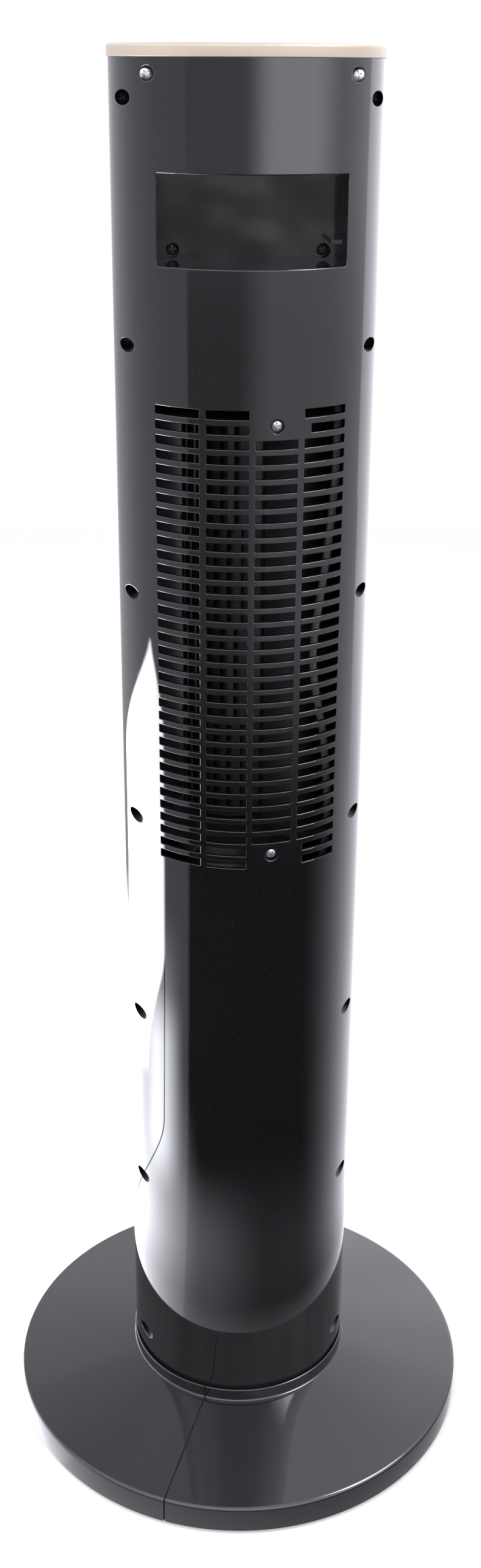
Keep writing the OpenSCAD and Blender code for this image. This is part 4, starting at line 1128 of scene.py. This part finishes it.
def makeButtons():
    radius, edge, stem = button["radius"], button["edge"], button["stem"]
    flange, flangeHigh = button["flange"]
    flangeTop = panelHigh.z - panel["thick"] - button["flangeGap"]
    flangeLow = flangeTop - flangeHigh
    sink, fall = button["crown"]
    small = 0.2 * mm
    for name in buttonNames:
        low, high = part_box("button_" + name)
        middle = (low + high) / 2
        top = high.z - sink
        crown = [(share * (radius - edge), top - fall * share * share)
                 for share in (1, 0.8, 0.6, 0.4, 0.2)]
        rim = arc(edge, 0, 75, 3, radius - edge, crown[0][1] - edge)
        profile = [(0, low.z), (stem, low.z), (stem, flangeLow),
                   (flange - small, flangeLow), (flange, flangeLow + small), (flange, flangeTop),
                   (radius, flangeTop), *rim, *crown, (0, top)]
        body = turned(profile, 64)
        forms = [body]
        for path, closed in signOf(name):
            flat = [(x * mm, y * mm) for x, y in path]
            forms.append(ribbon(flat, high.z - button["print"][1], high.z, closed))
        here = Matrix.Translation((middle.x, middle.y, 0))
        mesh = asMesh(*[placed(form, here) for form in forms])
        shade(mesh, 35)
        addPiece(name + "Button", mesh, "button_" + name, "button_grey", ["button_" + name],
                 "buttonSatin", "iconPrint")
        for face in mesh.polygons[len(body[1]):]:
            face.material_index = 1


grille = {
    "frame": 5 * mm,
    "corner": 2 * mm,
    "mouth": 1 * mm,
    "bars": 15,
    "barWide": 2 * mm,
    "barsIn": 0.4 * mm,      # how far the upright bars stand in from the frame's skin
    "crossBars": 5,
    "crossIn": 1.2 * mm,
    "crossRound": (0.4 * mm, 0.9 * mm),   # rounding of a cross bar's inner and outer edges
    "rim": 1 * mm,           # how far bars and frame run into one another
}


def grilleSkin(x):
    return math.sqrt((column["radius"] - shell["fit"]) ** 2 - x ** 2)


def ringBetween(near, far, bottom, top):
    return asMesh(turned([(near, bottom), (far, bottom), (far, top), (near, top)], 360))


def makeFrontGrille():
    low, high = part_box("front_grille")
    tuck, fit, frameWide, rim = shell["tuck"], shell["fit"], grille["frame"], grille["rim"]
    wide = high.x - tuck
    z0, z1 = low.z + tuck, high.z - tuck
    reach = column["radius"]
    outer, inner = reach - fit, reach - column["wall"] - tuck

    block = asMesh(slab(-wide, wide, -reach * 1.1, 0, z0 - rim, z1 + rim))
    face = combined(ringBetween(inner, outer, z0, z1), "INTERSECT", block)
    side, bottom, top = wide - frameWide, z0 + frameWide, z1 - frameWide
    opening = slabOutline(-side, side, bottom, top, grille["corner"])
    cut = mouthCutter(opening, [(0, reach / 2)], grille["mouth"], grilleSkin)
    face = combined(face, "DIFFERENCE", asMesh(alongY(cut, -1)))

    ring = ringBetween(inner, reach - column["wall"] - fit, z0 - tuck, z1 + tuck)
    block = asMesh(slab(-wide - tuck, wide + tuck, -reach, 0, z0 - 2 * tuck, z1 + 2 * tuck))
    flange = combined(ring, "INTERSECT", block)
    middle = asMesh(slab(rim - wide, wide - rim, -reach, rim, z0 + rim, z1 - rim))
    flange = combined(flange, "DIFFERENCE", middle)

    half = grille["barWide"] / 2
    pitch = (2 * wide - 2 * frameWide - grille["barWide"]) / (grille["bars"] + 1)
    bars = []
    for index in range(1, grille["bars"] + 1):
        x = -wide + frameWide + index * pitch + half
        tip = grilleSkin(x) - grille["barsIn"] - half
        back = math.sqrt(inner ** 2 - x ** 2) + rim
        section = [(px, -py) for px, py in arc(half, 0, 180, 8, x, tip)]
        section += [(x - half * 0.7, -back), (x + half * 0.7, -back)]
        bars.append(loft([[(px, py, z) for px, py in section] for z in (z0 + rim, z1 - rim)]))

    rise = (z1 - z0 - 2 * frameWide) / (grille["crossBars"] + 1)
    near, far = inner + 0.5 * mm, outer - grille["crossIn"]
    nearRound, farRound = grille["crossRound"]
    hoops = []
    for index in range(1, grille["crossBars"] + 1):
        z = z0 + frameWide + index * rise
        profile = filleted([(near, z - half, nearRound), (far, z - half, farRound),
                            (far, z + half, farRound), (near, z + half, nearRound)], 4)
        hoops.append(turned(profile, 360))
    block = asMesh(slab(rim - wide, wide - rim, -reach, 0, z0, z1))
    hoops = combined(asMesh(*hoops), "INTERSECT", block)
    mesh = combined(face, "UNION", flange)
    mesh = combined(mesh, "UNION", asMesh(*bars))
    mesh = combined(mesh, "UNION", hoops)
    shade(mesh, 32, [(outer, 1)])
    addPiece("frontGrille", mesh, "column", "grille_black", ["front_grille"], "grilleGloss")


studio = {
    "distance": 1.0481,      # camera to the column's axis
    "aside": 3.3,            # degrees round from straight behind, towards +X
    "height": 0.9555,
    "pitch": 23.31,          # degrees down
    "roll": 0.372,
    "yaw": 0.063,
    "lens": 38.5,
    "floorSize": 2.6,
    "aim": (0, 0, 0.5),      # where the lamps point
    "lamps": {               # place, size and power
        "overhead": ((0.4, 0.9, 2.3), (1.8, 1.8), 22),
        "leftFill": ((1.7, 0.5, 1.2), (0.9, 1.6), 9),
        "rightFill": ((-1.7, 0.4, 1.2), (0.9, 1.6), 9),
    },
}


def makeCamera():
    turn = math.radians(studio["aside"])
    away = studio["distance"]
    place = Vector((away * math.sin(turn), away * math.cos(turn), studio["height"]))
    pan = turn - math.radians(studio["yaw"])
    ahead = Vector((-math.sin(pan), -math.cos(pan), 0))
    side = ahead.cross(Vector((0, 0, 1)))
    pitch = math.radians(studio["pitch"])
    sight = ahead * math.cos(pitch) - Vector((0, 0, 1)) * math.sin(pitch)
    up = side.cross(sight)
    roll = math.radians(studio["roll"])
    right = side * math.cos(roll) + up * math.sin(roll)
    up = right.cross(sight)
    facing = Matrix((right, up, -sight)).transposed().to_4x4()
    data = bpy.data.cameras.new("camera")
    data.lens = studio["lens"]
    data.sensor_width = 36
    data.clip_start = 0.01
    camera = bpy.data.objects.new("camera", data)
    camera.matrix_world = Matrix.Translation(place) @ facing
    bpy.context.scene.collection.objects.link(camera)
    bpy.context.scene.camera = camera


# Azimuth in degrees of a direction or place, from +Y towards +X
def azimuth(board, vector):
    parts = board.node("ShaderNodeSeparateXYZ", None, {"Vector": vector})
    angle = parts.math("ARCTAN2", parts.out("X"), parts.out("Y")) * (180 / math.pi)
    return angle, parts


# What the gloss mirrors all round: spans are steps of azimuth in degrees, levels are steps of the
# sine of the height, and the plain numbers are strengths
glow = {
    "colour": (0.92, 0.93, 1, 1),
    "ring": 0.4,
    "left": 0.65,
    "leftSpan": [(52, 56), (125, 165, 1, 0.5)],
    "right": 0.85,
    "rightSpan": [(12, -22)],
    "back": 1.1,
    "backSpan": [(-117, -121)],
    "low": 0.45,
    "lowLevel": (-0.16, -0.04),
    "patch": 2.3,
    "patchSpan": [(5, -22), (-85, -50)],
    "patchLevel": (-0.075, -0.055),
    "upper": 1.35,
    "upperRight": 1.3,
    "upperRightSpan": [(-180, -164), (140, 90)],
    "camera": 3.6,
    "cameraSpan": [(-120, -70), (110, 60)],
    "cloud": (0.8, 0.4),
    "lamp": 32,
    "lampSpan": [(-96, -88), (-50, -62)],
    "lampLevel": [(0.62, 0.68), (0.93, 0.86)],
    "upperLevel": (0.05, 0.4),
    "plain": (0.62, 0.38),   # what everything but the gloss gets, and what the camera sees more
}


# Light that the gloss sees low round the horizon: dim behind the camera, brighter at the sides
def horizon(board, angle):
    left = board.window(angle, glow["leftSpan"])
    right = board.window(angle, glow["rightSpan"], glow["right"])
    back = board.window(angle, glow["backSpan"], glow["back"])
    return glow["ring"] + glow["left"] * left + right + back, left


def makeWorld():
    world = bpy.data.worlds.new("studio")
    bpy.context.scene.world = world
    board = Board(world)
    direction = board.node("ShaderNodeTexCoord").out("Generated")
    angle, parts = azimuth(board, direction)
    level = parts.out("Z")
    low, left = horizon(board, angle)
    low = low + glow["low"] * board.step(level, *glow["lowLevel"]) * (1 - left)
    patch = board.step(level, *glow["patchLevel"], 0, glow["patch"])
    low = low + board.window(angle, glow["patchSpan"], patch)
    upperRight = board.window(angle, glow["upperRightSpan"], glow["upperRight"])
    camera = board.window(angle, glow["cameraSpan"])
    upper = (glow["upper"] + upperRight) * (1 - camera) + glow["camera"] * camera
    clouds = board.step(board.noise(direction, 1.6, 2.0), 0.35, 0.65)
    least, more = glow["cloud"]
    upper = upper * (least + more * clouds)
    lamp = board.window(angle, glow["lampSpan"], glow["lamp"])
    upper = upper + board.window(level, glow["lampLevel"], lamp)
    shown = board.step(level, *glow["upperLevel"])
    glossy = low * (1 - shown) + upper * shown
    rays = board.node("ShaderNodeLightPath")
    isGlossy = rays.out("Is Glossy Ray")
    least, more = glow["plain"]
    plain = least + more * rays.out("Is Camera Ray")
    strength = plain + (glossy - plain) * isGlossy
    colour = board.blendColours(isGlossy, (1, 1, 1, 1), glow["colour"])
    background = board.node("ShaderNodeBackground", None, {"Color": colour, "Strength": strength})
    board.node("ShaderNodeOutputWorld", None, {"Surface": background})


# The floor in the gloss: each patch is a strength, steps of azimuth and steps of the distance from
# the column in metres
floorGlow = {
    "least": 0.04,
    "patches": {
        "middle": (0.26, [], [(0.45, 0.25)]),
        "foot": (0.9, [], [(0.23, 0.185)]),
        "rightSide": (1.7, [(-55, -130)], []),
        "leftHump": (8, [(58, 84), (112, 88)], [(0.33, 0.43), (0.72, 0.58)]),
        "leftNear": (1.3, [(-25, 50)], [(0.42, 0.3)]),
    },
    "leftSide": 0.9,
    "leftFan": (5.5, 35, 20, 100),      # strength, start near and its gain farther off, end
    "leftFanReach": [(0.35, 0.6), (0.95, 0.6)],
    "dimFoot": (0.2, 0.3, 0.62, 1),
    "line": (0.46, 0.22, 82, 142),      # thin dark line: distances and the azimuths it runs between
    "lineEdge": (0.4, 0.9, 0.1, 1),
    "far": (1.0, 2.2),
    "sheet": 16,                        # bright sheet on the left, a point far off that widens
    "sheetStart": [(1.95, 1.5, 97, 82), (0.8, 0.55, 0, 24)],
    "sheetEnd": (1.95, 1.35, 97, 148),
    "sheetReach": [(0.5, 0.6), (1.95, 1.9)],
}


# Brightness of the floor in the gloss, by azimuth and distance from the column
def floorStrength(board, place):
    angle = azimuth(board, place)[0]
    away = board.node("ShaderNodeVectorMath", {"operation": "LENGTH"}, {0: place}).out("Value")
    low, left = horizon(board, angle)
    near = floorGlow["least"] + floorGlow["leftSide"] * left
    for strength, spans, reaches in floorGlow["patches"].values():
        near = near + board.window(away, reaches, board.window(angle, spans, strength))
    strength, start, gain, end = floorGlow["leftFan"]
    nearer, farther = floorGlow["leftFanReach"]
    fan = board.step(angle, start + gain * board.step(away, *nearer), end)
    near = near + strength * fan * board.step(away, *farther)
    near = near * board.step(away, *floorGlow["dimFoot"])
    bend = angle - board.step(away, *floorGlow["line"])
    offLine = board.node("ShaderNodeMath", {"operation": "ABSOLUTE"}, {0: bend})
    near = near * board.step(offLine, *floorGlow["lineEdge"])
    first, second = floorGlow["sheetStart"]
    start = board.step(away, *first) + board.step(away, *second)
    end = board.step(away, *floorGlow["sheetEnd"])
    sheet = board.window(angle, [(start - 2, start + 2), (end + 4, end - 2)], floorGlow["sheet"])
    sheet = board.window(away, floorGlow["sheetReach"], sheet)
    far = board.step(away, *floorGlow["far"])
    return low * far + near * (1 - far) + sheet


def makeFloor():
    half = studio["floorSize"]
    mesh = bpy.data.meshes.new("floor")
    corners = [(-half, -half, 0), (half, -half, 0), (half, half, 0), (-half, half, 0)]
    mesh.from_pydata(corners, [], [(0, 1, 2, 3)])
    floor = bpy.data.objects.new("floor", mesh)
    bpy.context.scene.collection.objects.link(floor)
    material = bpy.data.materials.new("paleFloor")
    board = Board(material)
    place = board.node("ShaderNodeNewGeometry")
    shine = {"Color": glow["colour"], "Strength": floorStrength(board, place)}
    mirrored = board.node("ShaderNodeEmission", None, shine)
    paint = board.node("ShaderNodeBsdfDiffuse", None, {"Color": (0.9, 0.9, 0.9, 1)})
    lift = board.node("ShaderNodeEmission", None, {"Color": (1, 1, 1, 1), "Strength": 0.35})
    rays = board.node("ShaderNodeLightPath")
    seen = board.node("ShaderNodeAddShader", None, {0: paint, 1: lift})
    shown = board.node("ShaderNodeMixShader", None, {0: rays.out("Is Camera Ray"), 1: paint, 2: seen})
    isGlossy = rays.out("Is Glossy Ray")
    above = board.node("ShaderNodeMixShader", None, {0: isGlossy, 1: shown, 2: mirrored})
    clear = board.node("ShaderNodeBsdfTransparent")
    final = board.node("ShaderNodeMixShader", None, {0: place.out("Backfacing"), 1: above, 2: clear})
    board.node("ShaderNodeOutputMaterial", None, {"Surface": final})
    mesh.materials.append(material)


def makeLamp(name, place, size, power):
    data = bpy.data.lights.new(name, "AREA")
    data.shape = "RECTANGLE"
    data.size = size[0]
    data.size_y = size[1]
    data.energy = power
    lamp = bpy.data.objects.new(name, data)
    lamp.location = place
    lamp.rotation_euler = (Vector(studio["aim"]) - Vector(place)).to_track_quat("-Z", "Y").to_euler()
    lamp.visible_glossy = False
    bpy.context.scene.collection.objects.link(lamp)


def makeStudio():
    scene = bpy.context.scene
    scene.view_settings.view_transform = "Standard"
    makeCamera()
    makeWorld()
    makeFloor()
    for name, (place, size, power) in studio["lamps"].items():
        makeLamp(name, place, size, power)
    print("studio ready")


makeStudio()
makeMaterials()
dressNodes()
makeRearShell()
makeFrontShell()
makeBase()
makeFeet()
# the screws sunk in the side wells take the zinc darkened with painted shade
makeScrews("shell_screws", "shellScrews", "paintedShadeZinc")
makeScrews("top_screws", "topScrews", "screwZinc")
makeScrews("duct_screws", "grilleScrews", "screwZinc")
# the screws in the handle cup take the zinc darkened with painted shade
makeScrews("cup_screws", "cupScrews", "paintedShadeZinc")
makeCap()
makePanel()
makeButtons()
makeFrontGrille()
